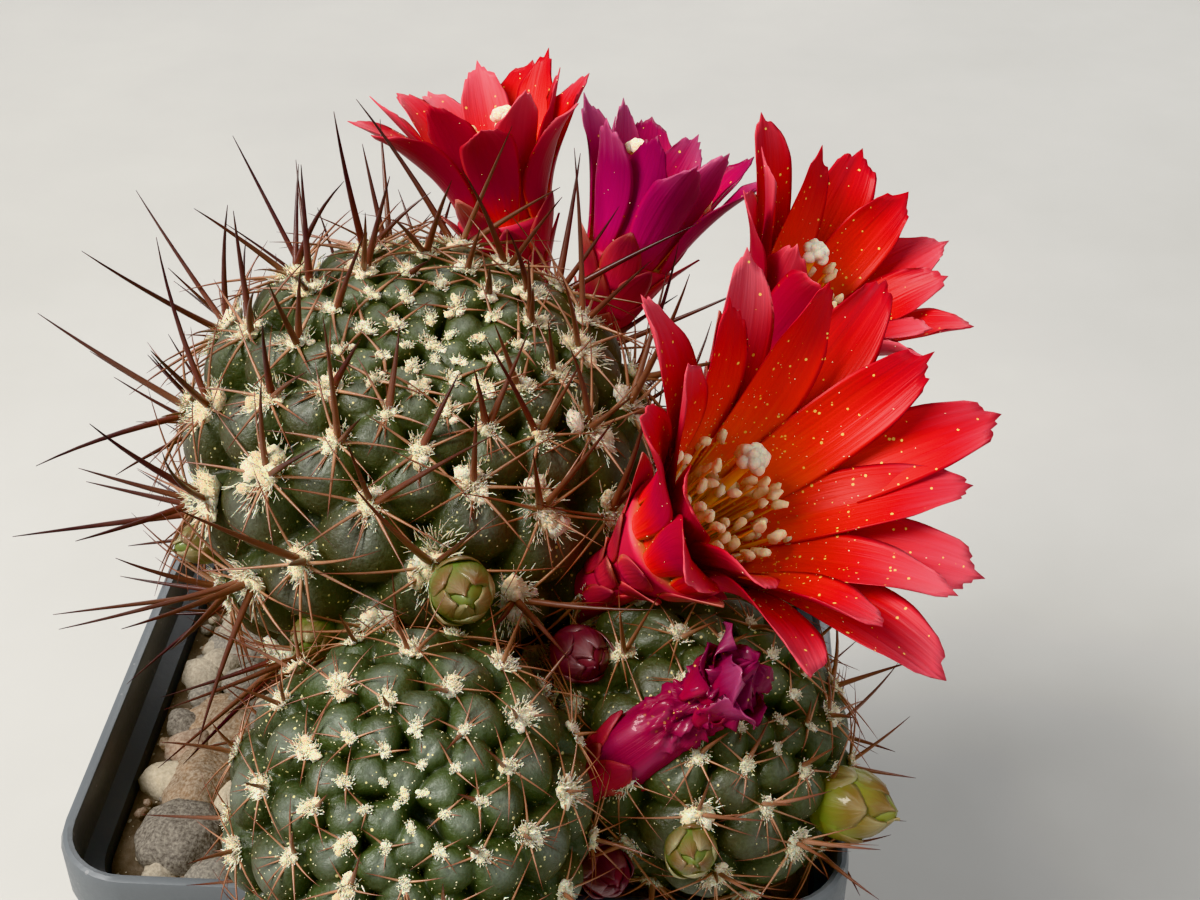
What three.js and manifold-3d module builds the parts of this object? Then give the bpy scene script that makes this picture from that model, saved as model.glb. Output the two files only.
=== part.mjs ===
// A flowering clump of Sulcorebutia in a square plastic pot, in millimetres, +Z up.
// The origin is the centre of the pot's underside. The clump has three heads.
// Every head is covered by tubercles set by the golden angle, each with an areole
// and its spines. Four open flowers, one spent flower and seven buds stand on the heads.

import * as THREE from 'three';
import { ConvexHull } from 'three/addons/math/ConvexHull.js';
import Module from 'manifold-3d';

const wasm = await Module();
wasm.setup();
const { Manifold, Mesh: SolidMesh } = wasm;

// Driving dimensions of the pot and its filling
const POT_HEIGHT = 85;
const POT_RIM_WIDTH = 90;
const POT_SHOULDER_WIDTH = 86.4;
const POT_BASE_WIDTH = 66;
const POT_WALL = 1.6;
const POT_FLOOR = 2;
const POT_CORNER_RADIUS = 9;
const RIM_BAND_HEIGHT = 7;
const DRAIN_HOLE_DIAMETER = 8;
const DRAIN_HOLE_OFFSET = 20;
const SOIL_TOP = 77;
const SOIL_BASE = 2.4;
const PEBBLE_PITCH = 11;

// Clearances between pieces that touch on the real plant
const SEAT_GAP = 0.35;
const CLEARANCE = 0.32;
const STEM_CLEARANCE = 0.6;
const HOLE_ROWS = 9;
const HOLE_SIDES = 16;

// Growth rules
const GOLDEN_ANGLE = THREE.MathUtils.degToRad(137.508);
const BUMP_REACH = 0.62;
const BUMP_SHARPNESS = 0.92;
const BUMP_HEIGHT = 0.6;
const DEEPEST_CREASE = 0.38;
const AREOLE_SHIFT = 0.34;
const SHOULDER_CORNERS = 4;
const CLOSEST_POINTS = 0.03;
const CROWN_ANGLE = 0.2;
const DIMPLE_ANGLE = 0.26;
const YOUNG_ANGLE = 0.1;
const GROWN_ANGLE = 1.25;
const HEXAGON_AREA = 0.866;
const CREASE_SLOPE = 4;
const SPINY_AREOLE = 0.42;
const STRONG_AREOLE = 0.6;
const ROOT_SHARE = 0.8;
const STEEPEST_ROOT = 0.3;

// Changes of lean, bearing and length that a spine tries until it stands clear
const SPINE_TRIES = [
  [0, 0, 1], [-8, 25, 1], [-8, -30, 0.9], [-20, 60, 0.85], [-20, -60, 0.8], [-10, 120, 0.8],
];

// The three heads. The axis points to the crown, below is the depth of the tapering body.
const HEADS = {
  main: {
    centre: [-6.3, -2.1, 115], axis: [0.17, -0.26, 0.95], radius: 28.5, above: 21, below: 42,
    taper: 0.05, dimple: 3, crownSpacing: 4.2, sideSpacing: 12, seed: 11,
    spineLength: 18, spineRadius: 0.5, sideSpineLength: 12.5,
  },
  front: {
    centre: [-1.9, -48.3, 101.8], axis: [0.09, -0.6, 0.8], radius: 19.2, above: 15, below: 34,
    taper: 0.5, dimple: 1.6, crownSpacing: 3.9, sideSpacing: 9.4, seed: 23,
    spineLength: 10.5, spineRadius: 0.4, sideSpineLength: 8,
  },
  right: {
    centre: [28, -28.7, 94.6], axis: [0.45, -0.35, 0.82], radius: 18.3, above: 14, below: 27,
    taper: 0.4, dimple: 1.4, crownSpacing: 4.2, sideSpacing: 9.6, seed: 37,
    spineLength: 12, spineRadius: 0.4, sideSpineLength: 8.5,
  },
};

// The open flowers. The throat is the centre of the tube's mouth and tube is its length.
// A whorl's opening is in degrees from the axis. lean is how much further its petals open
// on the side at heading, an angle round the axis from its uphill side.
const FLOWERS = {
  front: {
    throat: [25.3, -25.1, 120.8], axis: [0.549, -0.389, 0.74], tube: 24, mouth: 6.6,
    whorls: [
      { count: 9, opening: 53, length: 30, width: 6.7 },
      { count: 9, opening: 38, length: 29, width: 6.2 },
    ],
    lean: 5, heading: 250, phase: 12, stamens: 14, seed: 101,
  },
  back: {
    throat: [35, 10, 123], axis: [0.51, -0.137, 0.849], tube: 22, mouth: 6,
    whorls: [
      { count: 7, opening: 40, length: 24, width: 6.6 },
      { count: 7, opening: 27, length: 23.5, width: 6 },
    ],
    lean: 5, heading: 300, phase: 30, stamens: 7, seed: 113,
  },
  middle: {
    throat: [17, 25, 127], axis: [0.367, 0.323, 0.872], tube: 20, mouth: 5.6,
    whorls: [
      { count: 6, opening: 33, length: 18.5, width: 5.8 },
      { count: 6, opening: 20, length: 18.5, width: 5.2 },
    ],
    lean: 4, heading: 200, phase: 0, stamens: 6, seed: 127,
  },
  left: {
    throat: [1, 30, 130], axis: [-0.21, 0.185, 0.96], tube: 22, mouth: 6,
    whorls: [
      { count: 7, opening: 46, length: 20.5, width: 6 },
      { count: 7, opening: 30, length: 20.5, width: 5.6 },
    ],
    lean: 4, heading: 180, phase: 20, stamens: 8, seed: 139,
  },
};

// Widths along a petal and along a scale, from the root to the tip, as shares of the widest
const PETAL_WIDTHS = [0.34, 0.86, 1, 0.5];
const SCALE_WIDTHS = [0.8, 1, 0.2];
const PETAL_THICKNESS = 0.76;
const PETAL_CHANNEL = 0.3;
const PETAL_ROOT = 1.1;
const WHORL_STEP = 1.15;

// Changes of opening, bearing in radians and length that a petal tries until it is clear
const PETAL_TRIES = [
  [0, 0, 1], [-9, 0, 1], [-16, 0, 0.9], [-4, 0.14, 0.9], [-4, -0.14, 0.9], [-20, 0, 0.7],
];

const SPENT_FLOWER = { base: [16, -39, 98], tip: [33, -38.5, 115], width: 8.6, seed: 151 };

// Buds, each with its middle, the way it points, its width and its length
const BUDS = {
  green_upper: { centre: [2.5, -33.7, 119], axis: [0.25, -0.85, 0.45], width: 7, length: 8 },
  green_left: { centre: [-15.6, -28.2, 107], axis: [-0.3, -0.93, 0.2], width: 5, length: 6 },
  green_side: { centre: [-30.5, -15.6, 110], axis: [-0.8, -0.55, 0.15], width: 5.4, length: 6.5 },
  red_middle: { centre: [14.6, -29.8, 107.4], axis: [0.35, -0.8, 0.5], width: 6.4, length: 9 },
  yellow_right: { centre: [45, -36.5, 93], axis: [0.85, -0.45, 0.25], width: 8.4, length: 9.5 },
  green_lower: { centre: [27, -47, 96], axis: [0.1, -0.85, 0.5], width: 5.6, length: 6 },
  red_lower: { centre: [18, -46.5, 92], axis: [0.3, -0.8, 0.5], width: 5.6, length: 8 },
};

const FINISHES = {
  pot: { color: 0x6f7478, roughness: 0.35, metalness: 0 },
  soil: { color: 0x8c8073, roughness: 0.95, metalness: 0 },
  skin: { color: 0x3f5433, roughness: 0.45, metalness: 0 },
  petal: { color: 0xc81f22, roughness: 0.5, metalness: 0 },
  petalMagenta: { color: 0xc2215f, roughness: 0.5, metalness: 0 },
  stamen: { color: 0xf1d58a, roughness: 0.7, metalness: 0 },
  budGreen: { color: 0x7f9a55, roughness: 0.55, metalness: 0 },
  budRed: { color: 0x9c5a52, roughness: 0.55, metalness: 0 },
};

const UP = new THREE.Vector3(0, 0, 1);
const SIDEWAYS = new THREE.Vector3(1, 0, 0);
const NOWHERE = new THREE.Vector3(0, 0, 0);
const FULL_TURN = 2 * Math.PI;

// A small seeded random source, so that every build grows the same plant
function seededRandom(seed) {
  let state = seed >>> 0;
  return () => {
    state = (state + 0x6d2b79f5) >>> 0;
    let t = state;
    t = Math.imul(t ^ (t >>> 15), t | 1);
    t ^= t + Math.imul(t ^ (t >>> 7), t | 61);
    return ((t ^ (t >>> 14)) >>> 0) / 4294967296;
  };
}

function vector([x, y, z]) {
  return new THREE.Vector3(x, y, z);
}

function degrees(angle) {
  return THREE.MathUtils.degToRad(angle);
}

// An origin and three square directions, w along the axis and u on its uphill side
function frameAt(origin, axis) {
  const w = axis.clone().normalize();
  const guide = Math.abs(w.z) < 0.9 ? UP : SIDEWAYS;
  const u = guide.clone().addScaledVector(w, -guide.dot(w)).normalize();
  return { origin: origin.clone(), u, v: w.clone().cross(u), w };
}

function placeIn(frame, x, y, z) {
  const place = frame.origin.clone().addScaledVector(frame.u, x);
  return place.addScaledVector(frame.v, y).addScaledVector(frame.w, z);
}

// A direction given in a frame's own terms
function turnIn(frame, x, y, z) {
  return placeIn({ ...frame, origin: NOWHERE }, x, y, z);
}

function middleOf(corners) {
  return corners.reduce((sum, corner) => sum.add(corner), new THREE.Vector3()).divideScalar(corners.length);
}

function solidFromFaces(points, faces) {
  const vertProperties = new Float32Array(points.length * 3);
  points.forEach((point, index) => point.toArray(vertProperties, index * 3));
  const make = (list) => new Manifold(new SolidMesh({
    numProp: 3, vertProperties, triVerts: new Uint32Array(list.flat()),
  }));
  const solid = make(faces);
  return solid.volume() > 0 ? solid : make(faces.map(([a, b, c]) => [a, c, b]));
}

// A closed skin over a row of rings. A ring of one point is a tip.
function loft(rings) {
  const starts = [];
  const points = [];
  for (const ring of rings) {
    starts.push(points.length);
    points.push(...ring);
  }
  const faces = [];
  for (let row = 0; row + 1 < rings.length; row += 1) {
    const lower = starts[row];
    const upper = starts[row + 1];
    const sides = Math.max(rings[row].length, rings[row + 1].length);
    const lowerAt = (side) => lower + (rings[row].length > 1 ? side : 0);
    const upperAt = (side) => upper + (rings[row + 1].length > 1 ? side : 0);
    for (let side = 0; side < sides; side += 1) {
      const next = (side + 1) % sides;
      if (rings[row].length > 1) faces.push([lowerAt(side), lowerAt(next), upperAt(next)]);
      if (rings[row + 1].length > 1) faces.push([lowerAt(side), upperAt(next), upperAt(side)]);
    }
  }
  const last = rings.length - 1;
  for (let side = 1; side + 1 < rings[0].length; side += 1) faces.push([0, side + 1, side]);
  for (let side = 1; side + 1 < rings[last].length; side += 1) {
    faces.push([starts[last], starts[last] + side, starts[last] + side + 1]);
  }
  return solidFromFaces(points, faces);
}

// A turned form in a frame, from pairs of radius and height
function revolve(frame, profile, sides) {
  const rings = profile.map(([radius, height]) => {
    if (radius === 0) return [placeIn(frame, 0, 0, height)];
    return Array.from({ length: sides }, (_, side) => {
      const angle = (FULL_TURN * side) / sides;
      return placeIn(frame, radius * Math.cos(angle), radius * Math.sin(angle), height);
    });
  });
  return loft(rings);
}

function hullOf(points) {
  const indexOf = new Map(points.map((point, index) => [point, index]));
  return new ConvexHull().setFromPoints(points).faces.map((face) => {
    const corners = [];
    let edge = face.edge;
    do {
      corners.push(indexOf.get(edge.head().point));
      edge = edge.next;
    } while (edge !== face.edge);
    return corners;
  });
}

function largestPiece(solid) {
  return solid.decompose().reduce((best, piece) => (piece.volume() > best.volume() ? piece : best));
}

function boxesApart(first, second, gap) {
  const before = (low, high) => [0, 1, 2].some((i) => low.max[i] + gap < high.min[i]);
  return before(first, second) || before(second, first);
}

function isClear(solid, obstacles, gap) {
  const box = solid.boundingBox();
  return obstacles.every((obstacle) => {
    if (boxesApart(box, obstacle.boundingBox(), gap)) return true;
    return solid.minGap(obstacle, 2 * gap) > gap;
  });
}

// The first solid of a row of tries that stands clear of everything already placed
function firstClear(tries, obstacles) {
  for (const attempt of tries) {
    const solid = attempt();
    if (isClear(solid, obstacles, CLEARANCE)) return solid;
  }
  return null;
}

// Head bodies

function headProfile(head, theta) {
  const sin = Math.sin(theta);
  const cos = Math.cos(theta);
  if (cos >= 0) {
    const sunk = head.dimple * Math.exp(-((theta / DIMPLE_ANGLE) ** 2));
    return [head.radius * sin, head.above * cos - sunk];
  }
  return [head.radius * sin * (1 + head.taper * cos), head.below * cos];
}

// A point of the head's smooth envelope in its own frame, with the outward direction
function envelope(head, theta, phi) {
  const step = 0.001;
  const [radius, height] = headProfile(head, theta);
  const [nextRadius, nextHeight] = headProfile(head, theta + step);
  const [lastRadius, lastHeight] = headProfile(head, Math.max(theta - step, 0));
  const slope = new THREE.Vector2(lastHeight - nextHeight, nextRadius - lastRadius).normalize();
  const normal = new THREE.Vector3(slope.x * Math.cos(phi), slope.x * Math.sin(phi), slope.y);
  return { point: new THREE.Vector3(radius * Math.cos(phi), radius * Math.sin(phi), height), normal };
}

function spacingAt(head, theta) {
  const blend = THREE.MathUtils.smoothstep(theta, YOUNG_ANGLE, GROWN_ANGLE);
  return THREE.MathUtils.lerp(head.crownSpacing, head.sideSpacing, blend);
}

// Tubercles by the golden angle, with their number set by how wide they are at each height
function growTubercles(head, lastTheta) {
  const tubercles = [];
  const step = 0.002;
  let filled = 0;
  for (let theta = step; theta < lastTheta; theta += step) {
    const [radius, height] = headProfile(head, theta);
    const [lastRadius, lastHeight] = headProfile(head, theta - step);
    const width = Math.hypot(radius - lastRadius, height - lastHeight);
    const spacing = spacingAt(head, theta);
    filled += (FULL_TURN * radius * width) / (HEXAGON_AREA * spacing ** 2);
    if (filled >= tubercles.length + 0.5) {
      const phi = tubercles.length * GOLDEN_ANGLE;
      const { point } = envelope(head, theta, phi);
      tubercles.push({ theta, phi, spacing, bump: BUMP_HEIGHT * spacing, point });
    }
  }
  return tubercles;
}

// How far the skin lies below the envelope: round bumps that meet in creases
function reliefAt(point, tubercles) {
  let relief = -Infinity;
  for (const tubercle of tubercles) {
    const reach = point.distanceTo(tubercle.point) / (BUMP_REACH * tubercle.spacing);
    const dome = Math.sqrt(1 - BUMP_SHARPNESS * Math.min(reach, 1) ** 2) - 1;
    relief = Math.max(relief, tubercle.bump * (dome - CREASE_SLOPE * Math.max(reach - 1, 0)));
  }
  return relief;
}

function directionOf(theta, phi) {
  return new THREE.Vector3().setFromSphericalCoords(1, theta, phi);
}

function anglesOf(direction) {
  const spherical = new THREE.Spherical().setFromVector3(direction);
  return [spherical.phi, spherical.theta];
}

// The places on a unit sphere where the skin has a vertex: a ring on each tubercle's
// shoulder, the pit where three of them meet, and the crease between two
function skinDirections(head, tubercles, lastTheta) {
  const tops = tubercles.map(({ theta, phi }) => directionOf(theta, phi));
  const directions = [];
  for (const tubercle of tubercles) {
    const { theta, phi, spacing } = tubercle;
    if (theta < CROWN_ANGLE) {
      directions.push(directionOf(theta, phi));
      continue;
    }
    const [radius] = headProfile(head, theta);
    const reach = AREOLE_SHIFT * spacing;
    tubercle.areole = directions.length;
    for (let corner = 0; corner < SHOULDER_CORNERS; corner += 1) {
      const angle = (corner * FULL_TURN) / SHOULDER_CORNERS;
      const turn = (reach * Math.sin(angle)) / Math.max(radius, reach);
      const drop = (reach * Math.cos(angle)) / (theta < Math.PI / 2 ? head.radius : head.below);
      directions.push(directionOf(theta - drop, phi + turn));
    }
  }
  const base = [0, 1, 2].map((side) => directionOf(lastTheta + 0.3, (FULL_TURN * side) / 3));
  for (const corners of hullOf([...tops, ...base])) {
    if (corners.some((corner) => corner >= tops.length)) continue;
    const [a, b, c] = corners.map((corner) => tops[corner]);
    directions.push(a.clone().add(b).add(c).normalize());
    for (const [first, second] of [[a, b], [b, c], [c, a]]) {
      const middle = first.clone().add(second).normalize();
      const isNew = directions.every((other) => other.distanceTo(middle) > CLOSEST_POINTS);
      if (isNew) directions.push(middle);
    }
  }
  for (const [theta, count] of [[lastTheta + 0.14, 12], [(lastTheta + Math.PI) / 2, 8]]) {
    for (let side = 0; side < count; side += 1) {
      directions.push(directionOf(theta, (FULL_TURN * side) / count));
    }
  }
  directions.push(directionOf(Math.PI, 0));
  return directions;
}

// Where the body's tubercles end, about the level of the gravel
function lastThetaOf(head) {
  const depth = (head.centre[2] - SOIL_TOP - 1) / vector(head.axis).normalize().z;
  return Math.acos(-Math.min(depth / head.below, 0.9));
}

function growHead(head) {
  const frame = frameAt(vector(head.centre), vector(head.axis));
  const lastTheta = lastThetaOf(head);
  const tubercles = growTubercles(head, lastTheta);
  const directions = skinDirections(head, tubercles, lastTheta);
  const faces = hullOf(directions);
  const skinAt = (swell) => directions.map((direction) => {
    const [theta, phi] = anglesOf(direction);
    const { point, normal } = envelope(head, theta, phi);
    const fade = THREE.MathUtils.smoothstep(theta, lastTheta + 0.05, lastTheta + 0.2);
    const depth = Math.max(reliefAt(point, tubercles), -DEEPEST_CREASE * head.sideSpacing) * (1 - fade);
    const local = point.addScaledVector(normal, depth + swell);
    return placeIn(frame, local.x, local.y, local.z);
  });
  const points = skinAt(0);
  const body = solidFromFaces(points, faces);
  const swollen = solidFromFaces(skinAt(SEAT_GAP), faces);
  return { head, frame, tubercles, points, faces, body, swollen };
}

// The head's plain outer form, swollen, which clears a hole in the soil and the gravel
function stemHole({ head, frame }) {
  const profile = [];
  for (let row = 0; row <= HOLE_ROWS; row += 1) {
    const theta = (Math.PI * row) / HOLE_ROWS;
    const { point, normal } = envelope(head, theta, 0);
    const local = point.addScaledVector(normal, STEM_CLEARANCE);
    const onAxis = row === 0 || row === HOLE_ROWS;
    profile.push([onAxis ? 0 : local.x, local.z]);
  }
  return revolve(frame, profile, HOLE_SIDES);
}

// Areoles and spines

function areoleOf({ head, frame, points }, tubercle) {
  const bend = tubercle.theta < Math.PI / 2 ? head.radius : head.below;
  const theta = tubercle.theta - (AREOLE_SHIFT * tubercle.spacing) / bend;
  const { point, normal } = envelope(head, theta, tubercle.phi);
  const uphill = envelope(head, Math.max(theta - 0.05, 0), tubercle.phi).point.sub(point).normalize();
  const outward = turnIn(frame, ...normal);
  const rise = turnIn(frame, ...uphill);
  const side = outward.clone().cross(rise);
  return { vertex: tubercle.areole, point: points[tubercle.areole], outward, rise, side };
}

// Leaning from the outward direction, at a bearing from uphill
function spineDirection(areole, lean, bearing) {
  const direction = areole.outward.clone().multiplyScalar(Math.cos(degrees(lean)));
  direction.addScaledVector(areole.rise, Math.sin(degrees(lean)) * Math.cos(degrees(bearing)));
  direction.addScaledVector(areole.side, Math.sin(degrees(lean)) * Math.sin(degrees(bearing)));
  return direction.normalize();
}

// A spine stands on one of the faces round its areole. Its root is a small triangle in the
// face's plane, so that it grows out of the skin without a seam.
function spineOnFace({ points, faces }, index, areole, direction, length, radius) {
  const corners = faces[index].map((corner) => points[corner]);
  const middle = middleOf(corners);
  const across = corners[1].clone().sub(corners[0]);
  const normal = across.cross(corners[2].clone().sub(corners[0])).normalize();
  if (direction.dot(normal) < STEEPEST_ROOT) return null;
  const spread = corners.reduce((sum, corner) => sum + corner.distanceTo(middle), 0) / 3;
  const scale = Math.min(radius / spread, 0.9 * ROOT_SHARE);
  const foot = areole.point.clone().lerp(middle, ROOT_SHARE);
  const root = corners.map((corner) => corner.clone().sub(middle).multiplyScalar(scale).add(foot));
  const tip = foot.clone().addScaledVector(direction, length);
  const above = (share) => root.map((corner) => corner.clone().lerp(tip, share));
  return { index, root, tip, lower: loft([above(0.05), [tip]]), free: loft([above(0.15), [tip]]) };
}

// The lean, bearing, length and radius of the spines that an areole would like to bear
function spineWishes(head, vigour, random) {
  const side = random() < 0.5 ? -1 : 1;
  const { spineLength, sideSpineLength, spineRadius } = head;
  const upright = {
    lean: 20 + 18 * random(), bearing: side * (10 + 50 * random()),
    length: spineLength * (0.75 + 0.4 * random()), radius: spineRadius,
  };
  const lateral = {
    lean: 54 + 12 * random(), bearing: side * -(65 + 30 * random()),
    length: sideSpineLength * (0.8 + 0.4 * random()), radius: spineRadius * 0.8,
  };
  if (vigour <= STRONG_AREOLE) return [upright, lateral];
  const lower = {
    lean: 50 + 14 * random(), bearing: side * (95 + 50 * random()),
    length: sideSpineLength * (0.7 + 0.5 * random()), radius: spineRadius * 0.8,
  };
  return [upright, lateral, lower];
}

function bearingFrom(areole, point) {
  const reach = point.clone().sub(areole.point);
  return THREE.MathUtils.radToDeg(Math.atan2(reach.dot(areole.side), reach.dot(areole.rise)));
}

// The first try of a wished spine that has a face to stand on and clears everything else
function placeSpine(grown, areole, wish, around, spines, obstacles) {
  for (const [tilt, turn, scale] of SPINE_TRIES) {
    const bearing = wish.bearing + turn;
    const offBearing = ({ middle }) => 1 - Math.cos(degrees(bearingFrom(areole, middle) - bearing));
    const open = around.filter(({ index }) => spines.every((spine) => spine.index !== index));
    if (open.length === 0) return null;
    const nearest = open.reduce((best, face) => (offBearing(face) < offBearing(best) ? face : best));
    const direction = spineDirection(areole, Math.max(wish.lean + tilt, 4), bearing);
    const spine = spineOnFace(grown, nearest.index, areole, direction, wish.length * scale, wish.radius);
    if (!spine || !isClear(spine.lower, obstacles, CLEARANCE)) continue;
    if (!isClear(spine.free, [grown.body], 0.08)) continue;
    if (isClear(spine.lower, spines.map((other) => other.lower), 0.05)) return spine;
  }
  return null;
}

function growSpines(grown, obstacles) {
  const { head, tubercles, points, faces } = grown;
  const random = seededRandom(head.seed);
  const spines = [];
  for (const tubercle of tubercles) {
    const vigour = tubercle.spacing / head.sideSpacing;
    if (vigour < SPINY_AREOLE || tubercle.areole === undefined) continue;
    const areole = areoleOf(grown, tubercle);
    const around = faces
      .map((face, index) => ({ face, index, middle: middleOf(face.map((corner) => points[corner])) }))
      .filter(({ face }) => face.includes(areole.vertex));
    for (const wish of spineWishes(head, vigour, random)) {
      const spine = placeSpine(grown, areole, wish, around, spines, obstacles);
      if (spine) spines.push(spine);
    }
  }
  return spines;
}

// The skin with its spines, as one closed mesh
function spinedBody({ points, faces }, spines) {
  const allPoints = [...points];
  const bare = new Set(spines.map((spine) => spine.index));
  const allFaces = faces.filter((_, index) => !bare.has(index));
  for (const { index, root, tip } of spines) {
    const start = allPoints.length;
    allPoints.push(...root, tip);
    for (let corner = 0; corner < 3; corner += 1) {
      const next = (corner + 1) % 3;
      allFaces.push([faces[index][corner], faces[index][next], start + next]);
      allFaces.push([faces[index][corner], start + next, start + corner]);
      allFaces.push([start + corner, start + next, start + 3]);
    }
  }
  return solidFromFaces(allPoints, allFaces);
}

// Flowers

// One petal: a thin channelled blade that leaves the tube's mouth and bends outwards.
// Its end is a small point or a shallow notch.
function petalBlade(frame, { azimuth, opening, length, width, mouth, curl, notched, start, widths }) {
  const outward = turnIn(frame, Math.cos(azimuth), Math.sin(azimuth), 0);
  const sideways = frame.w.clone().cross(outward);
  const point = frame.origin.clone().addScaledVector(outward, mouth).addScaledVector(frame.w, start);
  const steps = widths.length - 1;
  const rings = [];
  for (let row = 0; row <= steps; row += 1) {
    const share = row / steps;
    const angle = THREE.MathUtils.lerp(16, opening, Math.min(share * 1.7, 1)) + curl * share ** 3;
    const tangent = frame.w.clone().multiplyScalar(Math.cos(degrees(angle)));
    tangent.addScaledVector(outward, Math.sin(degrees(angle)));
    const face = frame.w.clone().multiplyScalar(Math.sin(degrees(angle)));
    face.addScaledVector(outward, -Math.cos(degrees(angle)));
    const half = (width * widths[row]) / 2;
    const atEnd = row === steps;
    const reach = atEnd ? (notched ? -1.5 : 1.6) : 0;
    const middle = point.clone().addScaledVector(tangent, reach);
    const edge = point.clone().addScaledVector(face, half * PETAL_CHANNEL);
    const spread = atEnd && notched ? half * 1.5 : half;
    rings.push([
      middle.clone().addScaledVector(face, PETAL_THICKNESS / 2),
      edge.clone().addScaledVector(sideways, spread),
      middle.clone().addScaledVector(face, -PETAL_THICKNESS / 2),
      edge.clone().addScaledVector(sideways, -spread),
    ]);
    point.addScaledVector(tangent, length / steps);
  }
  return loft(rings);
}

// Small fleshy scales up the outside of the tube
function tubeScales(frame, flower, random) {
  return Array.from({ length: 5 }, (_, index) => {
    const azimuth = index * GOLDEN_ANGLE + flower.phase;
    const height = -flower.tube * 0.5 + index * 1.7;
    const share = 1 + height / flower.tube;
    const middle = { ...frame, origin: placeIn(frame, 0, 0, height) };
    return petalBlade(middle, {
      azimuth, opening: 20 + 22 * random(), length: 5 + 2 * random(), width: 3.6,
      mouth: 2.9 + (flower.mouth - 2.9) * share ** 2, curl: 16, notched: false, start: 0,
      widths: SCALE_WIDTHS,
    });
  });
}

function growFlower(flower, obstacles) {
  const frame = frameAt(vector(flower.throat), vector(flower.axis));
  const random = seededRandom(flower.seed);
  const { tube, mouth } = flower;
  const outside = revolve(frame, [
    [2.8, -tube], [3.2, -tube * 0.45], [mouth - 0.6, -tube * 0.15], [mouth + 0.7, 0],
  ], 9);
  const inside = revolve(frame, [[1.6, -9.5], [mouth - 3.2, -4.2], [mouth - 2.1, 0.5]], 9);
  const parts = [outside.subtract(inside), ...tubeScales(frame, flower, random)];
  flower.whorls.forEach(({ count, opening, length, width }, whorl) => {
    for (let index = 0; index < count; index += 1) {
      const turn = (360 * (index + whorl / flower.whorls.length)) / count;
      const azimuth = degrees(flower.phase + turn + 5 * (random() - 0.5));
      const leaning = flower.lean * Math.cos(azimuth - degrees(flower.heading));
      const shape = {
        azimuth, width, start: -PETAL_ROOT, widths: PETAL_WIDTHS,
        mouth: mouth - 0.25 - WHORL_STEP * whorl,
        opening: opening + leaning + 8 * (random() - 0.5),
        length: length * (0.9 + 0.14 * random()) + leaning * 0.3,
        curl: 26 * (random() - 0.3),
        notched: random() < 0.45,
      };
      const tries = PETAL_TRIES.map(([tilt, turn, scale]) => () => petalBlade(frame, {
        ...shape, opening: shape.opening + tilt, azimuth: azimuth + turn, length: shape.length * scale,
      }));
      const blade = firstClear(tries, obstacles);
      if (blade) parts.push(blade);
    }
  });
  return { frame, parts };
}

// Stamens on a small plug deep in the tube, with the style and its stigma in their middle
function growStamens(frame, flower, obstacles) {
  const random = seededRandom(flower.seed + 1);
  const plugRadius = flower.mouth - 4.2;
  const plug = revolve(frame, [[0, -9.1], [1.1, -8.8], [plugRadius, -5.2], [0, -4.6]], 8);
  const ring = 0.64 * plugRadius;
  const style = revolve(frame, [[0.7, -6], [0.6, 8.5], [1.9, 9.6], [1.5, 11], [0, 11.2]], 6);
  const parts = [plug, style];
  for (let index = 0; index < flower.stamens; index += 1) {
    const azimuth = index * GOLDEN_ANGLE;
    const lean = degrees(4 + 17 * Math.sqrt((index + 0.5) / flower.stamens));
    const across = Math.sin(lean);
    const tilted = turnIn(frame, across * Math.cos(azimuth), across * Math.sin(azimuth), Math.cos(lean));
    const root = placeIn(frame, ring * Math.cos(azimuth), ring * Math.sin(azimuth), -5.6);
    const tip = root.clone().addScaledVector(tilted, 12 + 4 * random());
    const stalk = frameAt(root, tilted);
    const reach = root.distanceTo(tip);
    const filament = revolve(stalk, [[0.24, 0], [0.7, reach], [0, reach + 1.2]], 3);
    if (isClear(filament, obstacles, CLEARANCE)) parts.push(filament);
  }
  return Manifold.union(parts);
}

// The spent flower: a soft tube with its petals twisted shut
function growSpentFlower({ base, tip, width, seed }, obstacles) {
  const random = seededRandom(seed);
  const start = vector(base);
  const reach = vector(tip).sub(start);
  const length = reach.length();
  const frame = frameAt(start, reach);
  const outline = [
    [-5, 0.3], [1, 0.36], [8, 0.5], [14, 0.44], [18, 0.4], [length - 2, 0.46], [length, 0.2],
  ];
  const rings = outline.map(([height, share], row) => Array.from({ length: 7 }, (_, side) => {
    const angle = (FULL_TURN * side) / 7 + row * 0.16;
    const crumple = row > 2 ? 0.75 + 0.5 * random() : 0.96 + 0.08 * random();
    const radius = width * share * crumple;
    const slip = row > 3 ? random() - 0.5 : 0;
    return placeIn(frame, radius * Math.cos(angle), radius * Math.sin(angle), height + slip);
  }));
  const parts = [loft(rings)];
  for (let index = 0; index < 6; index += 1) {
    const low = index < 3;
    const foot = { ...frame, origin: placeIn(frame, 0, 0, low ? 1.5 + 2 * index : length - 6.5) };
    const blade = petalBlade(foot, {
      azimuth: index * GOLDEN_ANGLE,
      opening: low ? 14 : 20 + 24 * random(),
      length: low ? 7 : 5 + 3 * random(),
      curl: low ? -10 : 60 * (random() - 0.4),
      notched: !low && random() < 0.5,
      mouth: width * (low ? 0.38 : 0.32),
      width: 4.4, start: 0, widths: SCALE_WIDTHS,
    });
    if (isClear(blade, obstacles, CLEARANCE)) parts.push(blade);
  }
  return Manifold.union(parts);
}

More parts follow.
